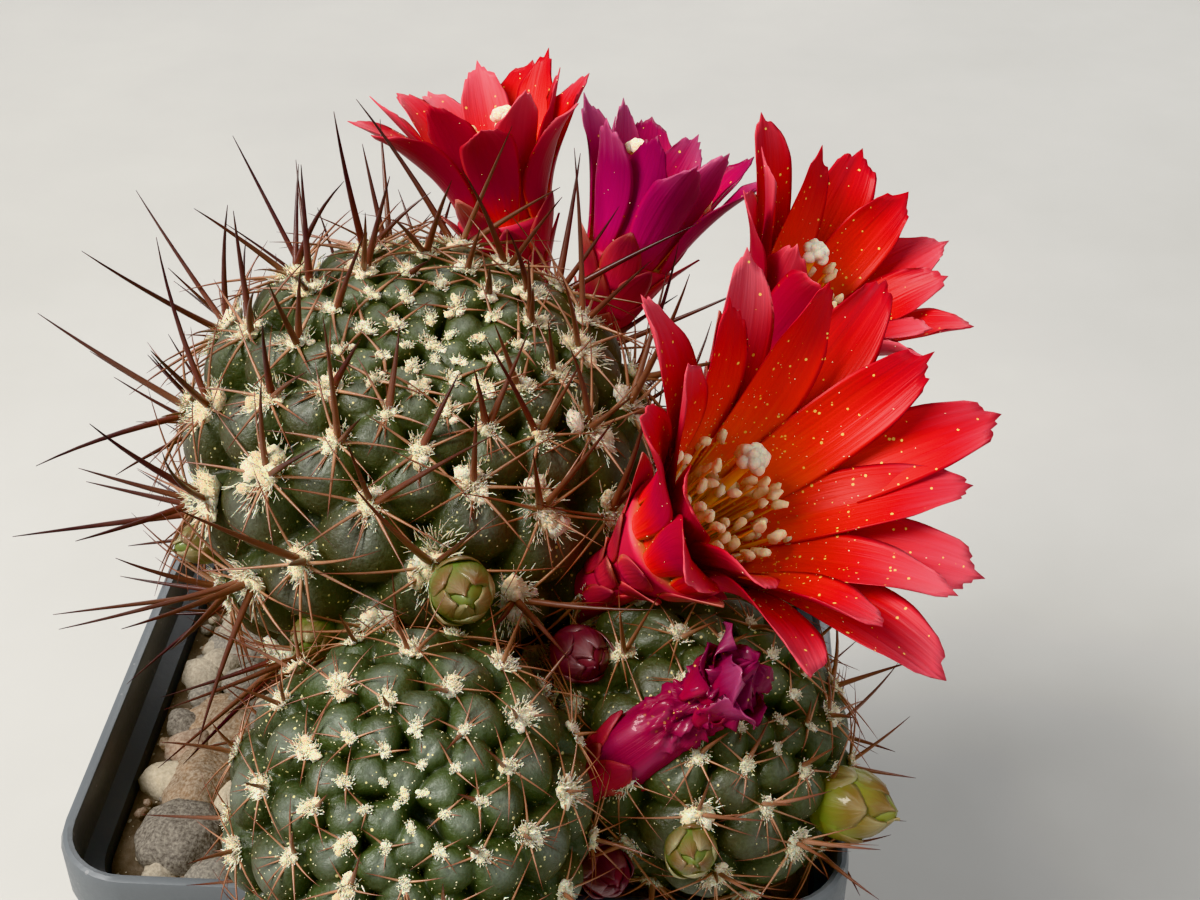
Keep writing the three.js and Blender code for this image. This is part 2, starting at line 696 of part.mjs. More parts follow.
// A bud: a pointed egg wrapped in a few overlapping scales
function growBud({ centre, axis, width, length }) {
  const frame = frameAt(vector(centre), vector(axis));
  const half = length / 2;
  const core = revolve(frame, [
    [width * 0.26, -half - 2], [width * 0.46, -half * 0.35], [width * 0.4, half * 0.4], [0, half],
  ], 6);
  const scales = Array.from({ length: 3 }, (_, index) => {
    const foot = { ...frame, origin: placeIn(frame, 0, 0, -half * 0.75 + index * half * 0.14) };
    return petalBlade(foot, {
      azimuth: index * GOLDEN_ANGLE, opening: 4, length: length * 0.62, width: width * 0.62,
      mouth: width * 0.42, curl: -34, notched: false, start: 0, widths: SCALE_WIDTHS,
    });
  });
  return Manifold.union([core, ...scales]);
}

// Pot, soil and gravel

// A level square ring with rounded corners
function squareRing(width, height, radius) {
  const ring = [];
  const reach = width / 2 - radius;
  for (let corner = 0; corner < 4; corner += 1) {
    for (let step = 0; step < 4; step += 1) {
      const angle = (Math.PI / 2) * (corner + step / 3);
      const turn = (Math.PI / 2) * corner + Math.PI / 4;
      const x = Math.SQRT2 * reach * Math.cos(turn) + radius * Math.cos(angle);
      const y = Math.SQRT2 * reach * Math.sin(turn) + radius * Math.sin(angle);
      ring.push(new THREE.Vector3(x, y, height));
    }
  }
  return ring;
}

function potWidthAt(height) {
  const share = height / (POT_HEIGHT - RIM_BAND_HEIGHT);
  return THREE.MathUtils.lerp(POT_BASE_WIDTH, POT_SHOULDER_WIDTH, share);
}

function potOutside(swell) {
  const shoulder = POT_HEIGHT - RIM_BAND_HEIGHT;
  return loft([
    squareRing(POT_BASE_WIDTH + 2 * swell, -swell, POT_CORNER_RADIUS - 2),
    squareRing(POT_SHOULDER_WIDTH + 2 * swell, shoulder - swell, POT_CORNER_RADIUS),
    squareRing(POT_RIM_WIDTH + 2 * swell, shoulder + 0.4 - swell, POT_CORNER_RADIUS),
    squareRing(POT_RIM_WIDTH + 2 * swell, POT_HEIGHT + swell, POT_CORNER_RADIUS),
  ]);
}

function potInside(shrink) {
  const shoulder = POT_HEIGHT - RIM_BAND_HEIGHT;
  const inset = 2 * (POT_WALL + shrink);
  return loft([
    squareRing(potWidthAt(POT_FLOOR) - inset, POT_FLOOR + shrink, POT_CORNER_RADIUS - 3.5),
    squareRing(POT_SHOULDER_WIDTH - inset, shoulder, POT_CORNER_RADIUS - 1.5),
    squareRing(POT_RIM_WIDTH - inset, shoulder + 1.2, POT_CORNER_RADIUS - 1.5),
    squareRing(POT_RIM_WIDTH - inset, POT_HEIGHT + 2, POT_CORNER_RADIUS - 1.5),
  ]);
}

function makePot() {
  const holes = [0, 1, 2, 3].map((corner) => {
    const angle = Math.PI / 4 + (corner * Math.PI) / 2;
    const reach = DRAIN_HOLE_OFFSET * Math.SQRT2;
    const middle = new THREE.Vector3(reach * Math.cos(angle), reach * Math.sin(angle), 0);
    const radius = DRAIN_HOLE_DIAMETER / 2;
    return revolve(frameAt(middle, UP), [[radius, -1], [radius, POT_FLOOR + 1]], 12);
  });
  return potOutside(0).subtract(Manifold.union([potInside(0), ...holes]));
}

function pebble(middle, size, random) {
  const turned = frameAt(middle, new THREE.Vector3(random() - 0.5, random() - 0.5, 2));
  const spin = FULL_TURN * random();
  const flat = 0.55 + 0.25 * random();
  const stretch = 0.8 + 0.45 * random();
  const points = [];
  for (let index = 0; index < 8; index += 1) {
    const z = 1 - (2 * index + 1) / 8;
    const reach = Math.sqrt(1 - z * z);
    const angle = index * GOLDEN_ANGLE + spin;
    const swell = (size / 2) * (0.86 + 0.28 * random());
    const x = swell * stretch * reach * Math.cos(angle);
    const y = (swell / stretch) * reach * Math.sin(angle);
    points.push(placeIn(turned, x, y, swell * flat * z));
  }
  return solidFromFaces(points, hullOf(points));
}

function makeSoil(heads) {
  const random = seededRandom(71);
  const block = potInside(SEAT_GAP).intersect(loft([
    squareRing(POT_RIM_WIDTH, SOIL_BASE, 1), squareRing(POT_RIM_WIDTH, SOIL_TOP, 1),
  ]));
  const within = (POT_SHOULDER_WIDTH - 2 * POT_WALL) / 2 - 0.6;
  const cells = Math.floor((2 * within) / PEBBLE_PITCH);
  const pitch = (2 * within) / cells;
  const stones = [];
  for (let row = 0; row < cells; row += 1) {
    for (let column = 0; column < cells; column += 1) {
      const size = PEBBLE_PITCH * (0.85 + 0.45 * random());
      const limit = within - size * 0.62;
      const x = THREE.MathUtils.clamp(-within + pitch * (column + 0.2 + 0.6 * random()), -limit, limit);
      const y = THREE.MathUtils.clamp(-within + pitch * (row + 0.2 + 0.6 * random()), -limit, limit);
      const stone = pebble(new THREE.Vector3(x, y, SOIL_TOP + 0.2 + 1.2 * random()), size, random);
      const hidden = heads.some((hole) => stone.subtract(hole).volume() < 0.35 * stone.volume());
      const corner = Math.hypot(Math.max(Math.abs(x) - 30, 0), Math.max(Math.abs(y) - 30, 0)) > 9.5;
      if (!hidden && !corner) stones.push(stone);
    }
  }
  return largestPiece(Manifold.union([block, ...stones]).subtract(Manifold.union(heads)));
}

// Assembly: each piece is made in turn and stands clear of those before it

const main = growHead(HEADS.main);
const front = growHead(HEADS.front);
const right = growHead(HEADS.right);
const pot = makePot();
const soil = makeSoil([stemHole(main), stemHole(front), stemHole(right)]);
const rimRoom = potOutside(SEAT_GAP).subtract(potInside(SEAT_GAP));
const room = {
  main: Manifold.union([]),
  front: Manifold.union([main.swollen, rimRoom]),
  right: Manifold.union([main.swollen, front.swollen, rimRoom]),
};
const bodies = Manifold.union([main.swollen, front.swollen, right.swollen]);
const pieces = new Map([['pot', [pot, FINISHES.pot]], ['soil', [soil, FINISHES.soil]]]);

// The blooms and buds, each clear of those before it and seated on the skin
const blooms = [];
for (const [name, flower] of Object.entries(FLOWERS)) {
  const grown = growFlower(flower, [...blooms, front.body, right.body, pot, soil]);
  const bloom = largestPiece(Manifold.union(grown.parts).subtract(bodies));
  const stamens = growStamens(grown.frame, flower, [bloom]);
  pieces.set(`flower_${name}`, [bloom, name === 'middle' ? FINISHES.petalMagenta : FINISHES.petal]);
  pieces.set(`stamens_${name}`, [stamens, FINISHES.stamen]);
  blooms.push(bloom, stamens);
}
const spent = largestPiece(growSpentFlower(SPENT_FLOWER, blooms).subtract(bodies));
pieces.set('flower_spent', [spent, FINISHES.petalMagenta]);
blooms.push(spent);
for (const [name, bud] of Object.entries(BUDS)) {
  const solid = largestPiece(growBud(bud).subtract(bodies));
  pieces.set(`bud_${name}`, [solid, name.startsWith('red') ? FINISHES.budRed : FINISHES.budGreen]);
  blooms.push(solid);
}

// The heads last, so that their spines stand clear of everything else
const heads = [];
for (const [name, grown, others] of [
  ['right', right, [main.body, front.body]], ['front', front, [main.body]], ['main', main, []],
]) {
  const spines = growSpines(grown, [...others, ...heads, ...blooms, soil, pot]);
  const solid = largestPiece(spinedBody(grown, spines).subtract(room[name]));
  pieces.set(`head_${name}`, [solid, FINISHES.skin]);
  heads.push(solid);
}

function toMesh(name, solid, finish) {
  const { vertProperties, triVerts, numProp } = solid.getMesh();
  const positions = new Float32Array((vertProperties.length / numProp) * 3);
  for (let index = 0; index * numProp < vertProperties.length; index += 1) {
    positions.set(vertProperties.subarray(index * numProp, index * numProp + 3), index * 3);
  }
  const geometry = new THREE.BufferGeometry();
  geometry.setAttribute('position', new THREE.BufferAttribute(positions, 3));
  geometry.setIndex(new THREE.BufferAttribute(new Uint32Array(triVerts), 1));
  const mesh = new THREE.Mesh(geometry, new THREE.MeshStandardMaterial(finish));
  mesh.name = name;
  return mesh;
}

const plant = new THREE.Group();
for (const [name, [solid, finish]] of pieces) plant.add(toMesh(name, solid, finish));

export default plant;
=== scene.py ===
"""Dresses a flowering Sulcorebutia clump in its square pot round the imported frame.

Sizes are in millimetres until a mesh is made, which is in metres. The plant repeats the
frame's growth rules: tubercles by the golden angle, and petals in whorls.
"""

import logging
import math
from dataclasses import dataclass, field
from enum import Enum
from typing import Sequence

import bmesh
import bpy
import numpy as np
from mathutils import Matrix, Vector
from mathutils.bvhtree import BVHTree


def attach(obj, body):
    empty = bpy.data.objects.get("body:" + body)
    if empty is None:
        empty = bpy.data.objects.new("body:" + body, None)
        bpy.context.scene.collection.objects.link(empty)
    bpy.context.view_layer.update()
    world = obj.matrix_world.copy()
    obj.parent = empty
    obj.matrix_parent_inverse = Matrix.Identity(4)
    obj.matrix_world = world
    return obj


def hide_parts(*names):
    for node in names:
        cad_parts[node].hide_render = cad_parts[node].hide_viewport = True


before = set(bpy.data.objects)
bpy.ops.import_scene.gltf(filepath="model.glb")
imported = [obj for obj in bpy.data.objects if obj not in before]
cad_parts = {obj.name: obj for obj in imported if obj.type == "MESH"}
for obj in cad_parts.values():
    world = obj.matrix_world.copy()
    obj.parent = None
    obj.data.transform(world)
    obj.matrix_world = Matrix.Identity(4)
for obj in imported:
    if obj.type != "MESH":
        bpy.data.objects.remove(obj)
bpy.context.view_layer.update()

LOG = logging.getLogger("sulcorebutia")

MM = 0.001
BODY = "root"
GOLDEN_ANGLE = math.radians(137.508)
FULL_TURN = 2 * math.pi
UP = np.array([0.0, 0.0, 1.0])
SIDEWAYS = np.array([1.0, 0.0, 0.0])

MIXED_INPUTS = (6, 7)
MIXED_OUTPUT = 2

Values = dict[str, np.ndarray]
Colour = tuple[float, float, float, float]


def colour(code: str) -> Colour:
    """Turns a colour written as six hex digits into linear light.

    Args:
        code: The colour as a screen shows it, such as "c8102a".

    Returns:
        Red, green, blue and alpha.
    """
    shares = [int(code[i:i + 2], 16) / 255 for i in (0, 2, 4)]
    linear = [s / 12.92 if s <= 0.04045 else ((s + 0.055) / 1.055) ** 2.4 for s in shares]
    return (*linear, 1.0)


def smoothstep(value: np.ndarray | float, low: float, high: float) -> np.ndarray | float:
    """Eases from 0 at low to 1 at high.

    Args:
        value: The number or numbers to ease.
        low: Where the ramp starts.
        high: Where the ramp ends.

    Returns:
        The eased share.
    """
    share = np.clip((value - low) / (high - low), 0, 1)
    return share * share * (3 - 2 * share)


class SeededRandom:
    """The same small random source that grew the frame."""

    def __init__(self, seed: int) -> None:
        """Starts the source at a seed."""
        self.state = seed & 0xFFFFFFFF

    def __call__(self) -> float:
        """Returns the next number from 0 to 1."""
        self.state = (self.state + 0x6D2B79F5) & 0xFFFFFFFF
        t = self.state
        t = ((t ^ (t >> 15)) * (t | 1)) & 0xFFFFFFFF
        t ^= (t + ((t ^ (t >> 7)) * (t | 61))) & 0xFFFFFFFF
        return ((t ^ (t >> 14)) & 0xFFFFFFFF) / 4294967296


@dataclass(frozen=True)
class Axes:
    """An origin and three square directions, w along the axis and u on its uphill side."""

    origin: np.ndarray
    u: np.ndarray
    v: np.ndarray
    w: np.ndarray

    @classmethod
    def at(cls, origin: Sequence[float], axis: Sequence[float]) -> "Axes":
        """Sets axes at a point.

        Args:
            origin: The point.
            axis: The direction of w, of any length.

        Returns:
            The axes.
        """
        w = np.array(axis, float) / np.linalg.norm(axis)
        guide = UP if abs(w[2]) < 0.9 else SIDEWAYS
        u = guide - w * (guide @ w)
        u /= np.linalg.norm(u)
        return cls(np.array(origin, float), u, np.cross(w, u), w)

    def turn(self, local: np.ndarray) -> np.ndarray:
        """Turns directions from these axes into the frame's."""
        return local[..., :1] * self.u + local[..., 1:2] * self.v + local[..., 2:3] * self.w

    def place(self, local: np.ndarray) -> np.ndarray:
        """Moves points from these axes into the frame."""
        return self.origin + self.turn(local)


@dataclass
class Form:
    """Points in millimetres, faces, and the values that the finishes read at each point."""

    points: np.ndarray
    faces: list[tuple[int, ...]]
    values: Values = field(default_factory=dict)

    @classmethod
    def joined(cls, forms: Sequence["Form"]) -> "Form":
        """Puts several forms with the same values into one.

        Args:
            forms: The forms.

        Returns:
            One form.
        """
        faces = []
        start = 0
        for form in forms:
            faces += [tuple(start + corner for corner in face) for face in form.faces]
            start += len(form.points)
        names = forms[0].values
        values = {name: np.concatenate([form.values[name] for form in forms]) for name in names}
        return cls(np.concatenate([form.points for form in forms]), faces, values)

    def tree(self) -> BVHTree:
        """Makes a search tree of the faces, in millimetres."""
        return BVHTree.FromPolygons(self.points.tolist(), self.faces)

    def mesh(self, name: str) -> bpy.types.Mesh:
        """Makes a mesh in metres with every value as an attribute.

        Args:
            name: The mesh's name.

        Returns:
            The mesh, with its faces turned outwards.
        """
        mesh = bpy.data.meshes.new(name)
        mesh.from_pydata((self.points * MM).tolist(), [], self.faces)
        if self.faces:
            sheet = bmesh.new()
            sheet.from_mesh(mesh)
            bmesh.ops.recalc_face_normals(sheet, faces=sheet.faces)
            sheet.to_mesh(mesh)
            sheet.free()
            mesh.shade_smooth()
        for label, numbers in self.values.items():
            kind = "FLOAT_VECTOR" if numbers.ndim > 1 else "FLOAT"
            attribute = mesh.attributes.new(label, kind, "POINT")
            part = "vector" if numbers.ndim > 1 else "value"
            attribute.data.foreach_set(part, numbers.astype(np.float32).ravel())
        return mesh

    def piece(self, name: str, finish: bpy.types.Material | None = None) -> bpy.types.Object:
        """Makes an object at the origin.

        Args:
            name: The object's name.
            finish: Its material, if it has one yet.

        Returns:
            The object, linked to the scene.
        """
        made = bpy.data.objects.new(name, self.mesh(name))
        bpy.context.scene.collection.objects.link(made)
        if finish:
            made.data.materials.append(finish)
        return made


def seat(made: bpy.types.Object, slot: str, *nodes: str) -> bpy.types.Object:
    """Lets a piece ride on the pot's body and stand for its nodes.

    Args:
        made: The piece.
        slot: The record's material slot; not used.
        *nodes: The nodes that it replaces.

    Returns:
        The piece.
    """
    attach(made, BODY)
    if nodes:
        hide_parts(*nodes)
    made.data.calc_loop_triangles()
    LOG.info("%s: %d triangles", made.name, len(made.data.loop_triangles))
    return made


class Sheet:
    """Adds and links the nodes of one tree, for a shader or for geometry."""

    def __init__(self, tree: bpy.types.NodeTree) -> None:
        """Keeps the tree to draw on."""
        self.tree = tree

    def add(self, kind: str, inputs: dict | None = None, **settings: object) -> bpy.types.Node:
        """Adds a node.

        Args:
            kind: The node's type.
            inputs: Values or sockets by the input's identifier, name or place.
            **settings: Properties of the node itself.

        Returns:
            The node.
        """
        node = self.tree.nodes.new(kind)
        for name, value in settings.items():
            setattr(node, name, value)
        for key, value in (inputs or {}).items():
            self.feed(self.socket(node, key), value)
        return node

    @staticmethod
    def socket(node: bpy.types.Node, key: str | int) -> bpy.types.NodeSocket:
        """Finds an input by its place, identifier or name."""
        if isinstance(key, int):
            return node.inputs[key]
        named = [s for s in node.inputs if s.identifier == key and s.enabled]
        return named[0] if named else next(s for s in node.inputs if s.name == key and s.enabled)

    def feed(self, socket: bpy.types.NodeSocket, value: object) -> None:
        """Links a socket, or sets its own value.

        Args:
            socket: The input.
            value: Another node's output socket, a node, or a plain value.
        """
        if isinstance(value, bpy.types.Node):
            value = next(s for s in value.outputs if s.enabled)
        if isinstance(value, bpy.types.NodeSocket):
            self.tree.links.new(value, socket)
        else:
            socket.default_value = value

    def math(self, operation: str, *values: object) -> bpy.types.Node:
        """Adds a sum of one, two or three values."""
        kind = "ShaderNodeMath"
        return self.add(kind, dict(enumerate(values)), operation=operation)

    def ramp(self, share: object, stops: Sequence[tuple[float, str]]) -> bpy.types.Node:
        """Adds a colour ramp.

        Args:
            share: What runs along the ramp.
            stops: Places and colour codes, in order.

        Returns:
            The ramp.
        """
        node = self.add("ShaderNodeValToRGB", {"Fac": share})
        ramp = node.color_ramp
        for place, _ in stops[2:]:
            ramp.elements.new(place)
        for element, (place, code) in zip(ramp.elements, stops):
            element.position = place
            element.color = colour(code)
        return node

    def mix(self, share: object, first: object, second: object) -> bpy.types.NodeSocket:
        """Adds a blend of two colours, each a code or a socket, and returns its colour."""
        node = self.add("ShaderNodeMix", {0: share}, data_type="RGBA")
        for place, tint in zip(MIXED_INPUTS, (first, second)):
            self.feed(node.inputs[place], colour(tint) if isinstance(tint, str) else tint)
        return node.outputs[MIXED_OUTPUT]

    def value(self, name: str) -> bpy.types.NodeSocket:
        """Reads a value that the piece's mesh carries."""
        return self.add("ShaderNodeAttribute", attribute_name=name).outputs["Fac"]

    def place(self) -> bpy.types.NodeSocket:
        """Reads the place on the piece, in metres."""
        return self.add("ShaderNodeTexCoord").outputs["Object"]

    def group(self, effect: bpy.types.NodeTree, **inputs: object) -> bpy.types.Node:
        """Places a shared effect with its own values, named as its inputs are."""
        node = self.tree.nodes.new("ShaderNodeGroup")
        node.node_tree = effect
        for key, value in inputs.items():
            self.feed(node.inputs[key], value)
        return node

    def mottle(self, scale: float, detail: float, contrast: float) -> bpy.types.Node:
        """Places the shared patches over the piece."""
        return self.group(EFFECTS.mottle, Place=self.place(), Scale=scale, Detail=detail, Contrast=contrast)

    def specks(self, scale: float, size: float, cover: object) -> bpy.types.Node:
        """Places the shared specks over the piece."""
        return self.group(EFFECTS.specks, Place=self.place(), Scale=scale, Size=size, Cover=cover)


def new_effect(name: str, inputs: dict[str, float], outputs: Sequence[str]) -> tuple[Sheet, object, object]:
    """Starts a shader group with float inputs and outputs and a place to read.

    Args:
        name: The group's name.
        inputs: Named values and their defaults.
        outputs: Named results.

    Returns:
        The sheet, the group's input node and its output node.
    """
    tree = bpy.data.node_groups.new(name, "ShaderNodeTree")
    tree.interface.new_socket("Place", in_out="INPUT", socket_type="NodeSocketVector")
    for label, value in inputs.items():
        socket = tree.interface.new_socket(label, in_out="INPUT", socket_type="NodeSocketFloat")
        socket.default_value = value
    for label in outputs:
        tree.interface.new_socket(label, in_out="OUTPUT", socket_type="NodeSocketFloat")
    sheet = Sheet(tree)
    return sheet, sheet.add("NodeGroupInput"), sheet.add("NodeGroupOutput")


def make_mottle() -> bpy.types.NodeTree:
    """Makes soft patches: one noise inside another, with its contrast raised."""
    sheet, given, result = new_effect("Mottle", {"Scale": 300, "Detail": 4, "Contrast": 2}, ["Mask"])
    noise = sheet.add("ShaderNodeTexNoise", {
        "Vector": given.outputs["Place"], "Scale": given.outputs["Scale"],
        "Detail": given.outputs["Detail"], "Roughness": 0.6,
    })
    centred = sheet.math("SUBTRACT", noise.outputs["Fac"], 0.5)
    raised = sheet.math("MULTIPLY_ADD", centred, given.outputs["Contrast"], 0.5)
    raised.use_clamp = True
    sheet.feed(result.inputs["Mask"], raised)
    return sheet.tree


def make_specks() -> bpy.types.NodeTree:
    """Makes small round specks, such as pollen and dust, on a share of the cells."""
    sheet, given, result = new_effect("Specks", {"Scale": 900, "Size": 0.3, "Cover": 0.3}, ["Mask"])
    cells = sheet.add("ShaderNodeTexVoronoi", {
        "Vector": given.outputs["Place"], "Scale": given.outputs["Scale"],
    })
    parts = sheet.add("ShaderNodeSeparateColor", {"Color": cells.outputs["Color"]})
    chosen = sheet.math("LESS_THAN", parts.outputs[0], given.outputs["Cover"])
    size = sheet.math("MULTIPLY", given.outputs["Size"], parts.outputs[1])
    inside = sheet.math("LESS_THAN", cells.outputs["Distance"], size)
    sheet.feed(result.inputs["Mask"], sheet.math("MULTIPLY", chosen, inside))
    return sheet.tree


def make_streaks() -> bpy.types.NodeTree:
    """Makes fine lines that run along a petal, a spine or a scale."""
    sheet, given, result = new_effect(
        "Streaks", {"Along": 0, "Across": 0, "Tone": 0, "Lines": 7}, ["Mask"])
    wide = sheet.math("MULTIPLY", given.outputs["Across"], given.outputs["Lines"])
    far = sheet.math("MULTIPLY", given.outputs["Along"], 1.6)
    own = sheet.math("MULTIPLY", given.outputs["Tone"], 37)
    where = sheet.add("ShaderNodeCombineXYZ", {"X": wide, "Y": far, "Z": own})
    noise = sheet.add("ShaderNodeTexNoise", {"Vector": where, "Scale": 1.0, "Detail": 3.0})
    sheet.feed(result.inputs["Mask"], noise.outputs["Fac"])
    return sheet.tree


@dataclass(frozen=True)
class Effects:
    """The shader groups that the finishes share."""

    mottle: bpy.types.NodeTree = field(default_factory=make_mottle)
    specks: bpy.types.NodeTree = field(default_factory=make_specks)
    streaks: bpy.types.NodeTree = field(default_factory=make_streaks)


EFFECTS = Effects()


@dataclass(frozen=True)
class Gloss:
    """The values of a surface that are the same all over it."""

    roughness: float = 0.5
    specular: float = 0.5
    sheen: float = 0.0
    subsurface: float = 0.0
    depth: float = 1.0
    coat: float = 0.0


def finish_named(name: str, gloss: Gloss) -> tuple[bpy.types.Material, Sheet, bpy.types.Node]:
    """Starts a material with its plain values set on the shader itself.

    Args:
        name: The material's name.
        gloss: Its plain values. The subsurface depth is in millimetres.

    Returns:
        The material, its sheet and its shader.
    """
    made = bpy.data.materials.new(name)
    made.use_nodes = True
    sheet = Sheet(made.node_tree)
    shader = made.node_tree.nodes["Principled BSDF"]
    shader.inputs["Roughness"].default_value = gloss.roughness
    shader.inputs["Specular IOR Level"].default_value = gloss.specular
    shader.inputs["Sheen Weight"].default_value = gloss.sheen
    shader.inputs["Subsurface Weight"].default_value = gloss.subsurface
    shader.inputs["Subsurface Scale"].default_value = gloss.depth * MM
    shader.inputs["Coat Weight"].default_value = gloss.coat
    return made, sheet, shader


def dress(sheet: Sheet, shader: bpy.types.Node, tint: object, height: object,
          strength: float, depth: float) -> None:
    """Feeds a colour and a bump to a shader.

    Args:
        sheet: The material's sheet.
        shader: The shader.
        tint: The colour.
        height: What the relief follows, from 0 to 1.
        strength: How strongly it shows.
        depth: The relief's depth in millimetres.
    """
    sheet.feed(shader.inputs["Base Color"], tint)
    bump = sheet.add("ShaderNodeBump", {"Strength": strength, "Distance": depth * MM, "Height": height})
    sheet.feed(shader.inputs["Normal"], bump.outputs["Normal"])


@dataclass(frozen=True)
class SkinFinish:
    """Waxy green skin: fresh at the crown, olive and brown lower down, with painted shade darkening its
    creases and a pale painted highlight on each bump's top.
    """

    name: str
    fresh: str
    grown: str
    aged: str
    # Painted highlight: the pale colour painted on each bump's top, and how strongly it shows there.
    painted_highlight: str
    painted_highlight_strength: float

    def material(self) -> bpy.types.Material:
        """Builds the material."""
        made, sheet, shader = finish_named(self.name, Gloss(0.4, 0.5, 0.0, 0.03, 1.0, 0.06))
        patches = sheet.mottle(170, 5, 2.4)
        fine = sheet.mottle(1900, 3, 1.6)
        age = sheet.math("MULTIPLY_ADD", patches, 0.5, sheet.math("SUBTRACT", sheet.value("age"), 0.25))
        skin = sheet.ramp(age, [(0.0, self.fresh), (0.45, self.grown), (1.0, self.aged)])
        crease = sheet.value("crease")
        # Painted highlight: the pale colour mixed onto each bump's top, fading to none towards its creases.
        top = sheet.add("ShaderNodeMapRange", {
            "Value": crease, "From Min": 0.0, "From Max": 0.62, "To Min": self.painted_highlight_strength, "To Max": 0.0,
        }, interpolation_type="SMOOTHSTEP")
        painted_highlight_skin = sheet.mix(top, skin, self.painted_highlight)
        # Painted shade: the creases between the bumps darkened to near black.
        shade = sheet.math("POWER", sheet.math("MINIMUM", crease, 1.0), 6.0)
        painted_crease_shade = sheet.mix(sheet.math("MULTIPLY", shade, 0.95), painted_highlight_skin, "10120a")
        grained = sheet.mix(sheet.math("MULTIPLY", fine, 0.2), painted_crease_shade, "8d9a7a")
        dusted = sheet.mix(sheet.specks(2300, 0.4, 0.14), grained, "cfc489")
        sheet.feed(shader.inputs["Roughness"], sheet.math("MULTIPLY_ADD", patches, 0.14, 0.42))
        dress(sheet, shader, dusted, fine, 0.75, 0.16)
        return made


@dataclass(frozen=True)
class SpineFinish:
    """Horny spines, tan at the root, through red-brown to a dark tip."""

    name: str = "spine_horn"

    def material(self) -> bpy.types.Material:
        """Builds the material."""
        made, sheet, shader = finish_named(self.name, Gloss(0.36, 0.5, 0.0, 0.12, 0.6))
        along = sheet.value("along")
        pale = sheet.ramp(along, [(0.0, "c8aa8a"), (0.25, "ae8364"), (0.75, "85543f"), (1.0, "38171a")])
        strong = sheet.ramp(along, [(0.0, "84452c"), (0.14, "5c241e"), (0.45, "36101a"), (1.0, "16070c")])
        mixed = sheet.mix(sheet.value("tone"), pale, strong)
        dusty = sheet.mix(sheet.math("MULTIPLY", sheet.mottle(220, 3, 3), 0.18), mixed, "8a6a5c")
        lines = sheet.add("ShaderNodeTexNoise", {"Vector": sheet.place(), "Scale": 3200.0, "Detail": 2.0})
        dress(sheet, shader, dusty, lines.outputs["Fac"], 0.25, 0.05)
        return made


@dataclass(frozen=True)
class WoolFinish:
    """Cream felt of the areoles."""

    name: str = "areole_wool"

    def material(self) -> bpy.types.Material:
        """Builds the material."""
        made, sheet, shader = finish_named(self.name, Gloss(0.95, 0.15, 0.5, 0.3, 0.8))
        felt = sheet.ramp(sheet.value("tone"), [(0.0, "e2cda4"), (0.45, "f0dfba"), (1.0, "faf0da")])
        fine = sheet.mottle(3400, 4, 3)
        # Darker cream mottle that follows the same noise as the relief.
        mottled_felt = sheet.mix(sheet.math("MULTIPLY", fine, 0.3), felt, "cdb48c")
        dress(sheet, shader, mottled_felt, fine, 0.45, 0.2)
        return made


@dataclass(frozen=True)
class PetalFinish:
    """A petal: yellow at its root, then orange and crimson, with a pale pink sheen highlight painted over the
    outer third of some petals.
    """

    name: str
    root: str
    low: str
    middle: str
    high: str
    tip: str
    outside: str
    # Painted highlight: the pale pink mixed over the outer ends as a sheen, and over the rims.
    pale: str
    margin: float = 0.0
    coat: float = 0.0

    def material(self) -> bpy.types.Material:
        """Builds the material."""
        made, sheet, shader = finish_named(self.name, Gloss(0.46, 0.3, 0.0, 0.1, 0.6, self.coat))
        along = sheet.value("along")
        tone = sheet.value("tone")
        across = sheet.value("across")
        inner = sheet.value("inner")
        streaks = sheet.group(EFFECTS.streaks, Along=along, Across=across, Tone=tone, Lines=7)
        shift = sheet.math("MULTIPLY_ADD", tone, 0.2, -0.1)
        waver = sheet.math("MULTIPLY_ADD", streaks, 0.22, shift)
        share = sheet.math("ADD", along, sheet.math("SUBTRACT", waver, 0.11))
        inside = sheet.ramp(share, [
            (0.02, self.root), (0.2, self.low), (0.45, self.middle), (0.75, self.high), (1.0, self.tip),
        ])
        outside = sheet.ramp(share, [(0.0, self.middle), (0.3, self.outside), (1.0, self.tip)])
        sided = sheet.mix(inner, outside, inside)
        # Painted highlight: a pale pink sheen over the outer ends of the petals of high tone.
        reached = sheet.math("MULTIPLY_ADD", tone, 0.55, sheet.math("SUBTRACT", along, 1.19))
        painted_highlight = sheet.math("MULTIPLY", sheet.math("ADD", reached, sheet.math("MULTIPLY", streaks, 0.3)), 2.2)
        painted_highlight.use_clamp = True
        edge = sheet.math("POWER", sheet.math("ABSOLUTE", across), 8.0)
        rim = sheet.math("MULTIPLY", edge, self.margin)
        lit = sheet.mix(sheet.math("MAXIMUM", sheet.math("MULTIPLY", painted_highlight, 0.58), rim), sided, self.pale)
        pollen = sheet.specks(2400, 0.45, sheet.math("MULTIPLY_ADD", along, -0.3, 0.3))
        dusted = sheet.mix(sheet.math("MULTIPLY", pollen, inner), lit, "f2cf72")
        dress(sheet, shader, dusted, streaks, 0.5, 0.25)
        return made


@dataclass(frozen=True)
class PlainFinish:
    """A finish of two tints in patches, with fine grain and specks of dust."""

    name: str
    first: str
    second: str
    gloss: Gloss = Gloss()
    patch_scale: float = 260
    grain_scale: float = 1800
    grain_depth: float = 0.1
    speck_tint: str = "e8ddb0"
    speck_cover: float = 0.1

    def material(self) -> bpy.types.Material:
        """Builds the material."""
        made, sheet, shader = finish_named(self.name, self.gloss)
        fine = sheet.mottle(self.grain_scale, 4, 2)
        base = sheet.mix(sheet.mottle(self.patch_scale, 5, 2.5), self.first, self.second)
        specked = sheet.mix(sheet.specks(1200, 0.4, self.speck_cover), base, self.speck_tint)
        rough = sheet.math("MULTIPLY_ADD", fine, 0.2, self.gloss.roughness - 0.1)
        sheet.feed(shader.inputs["Roughness"], rough)
        dress(sheet, shader, specked, fine, 0.4, self.grain_depth)
        return made


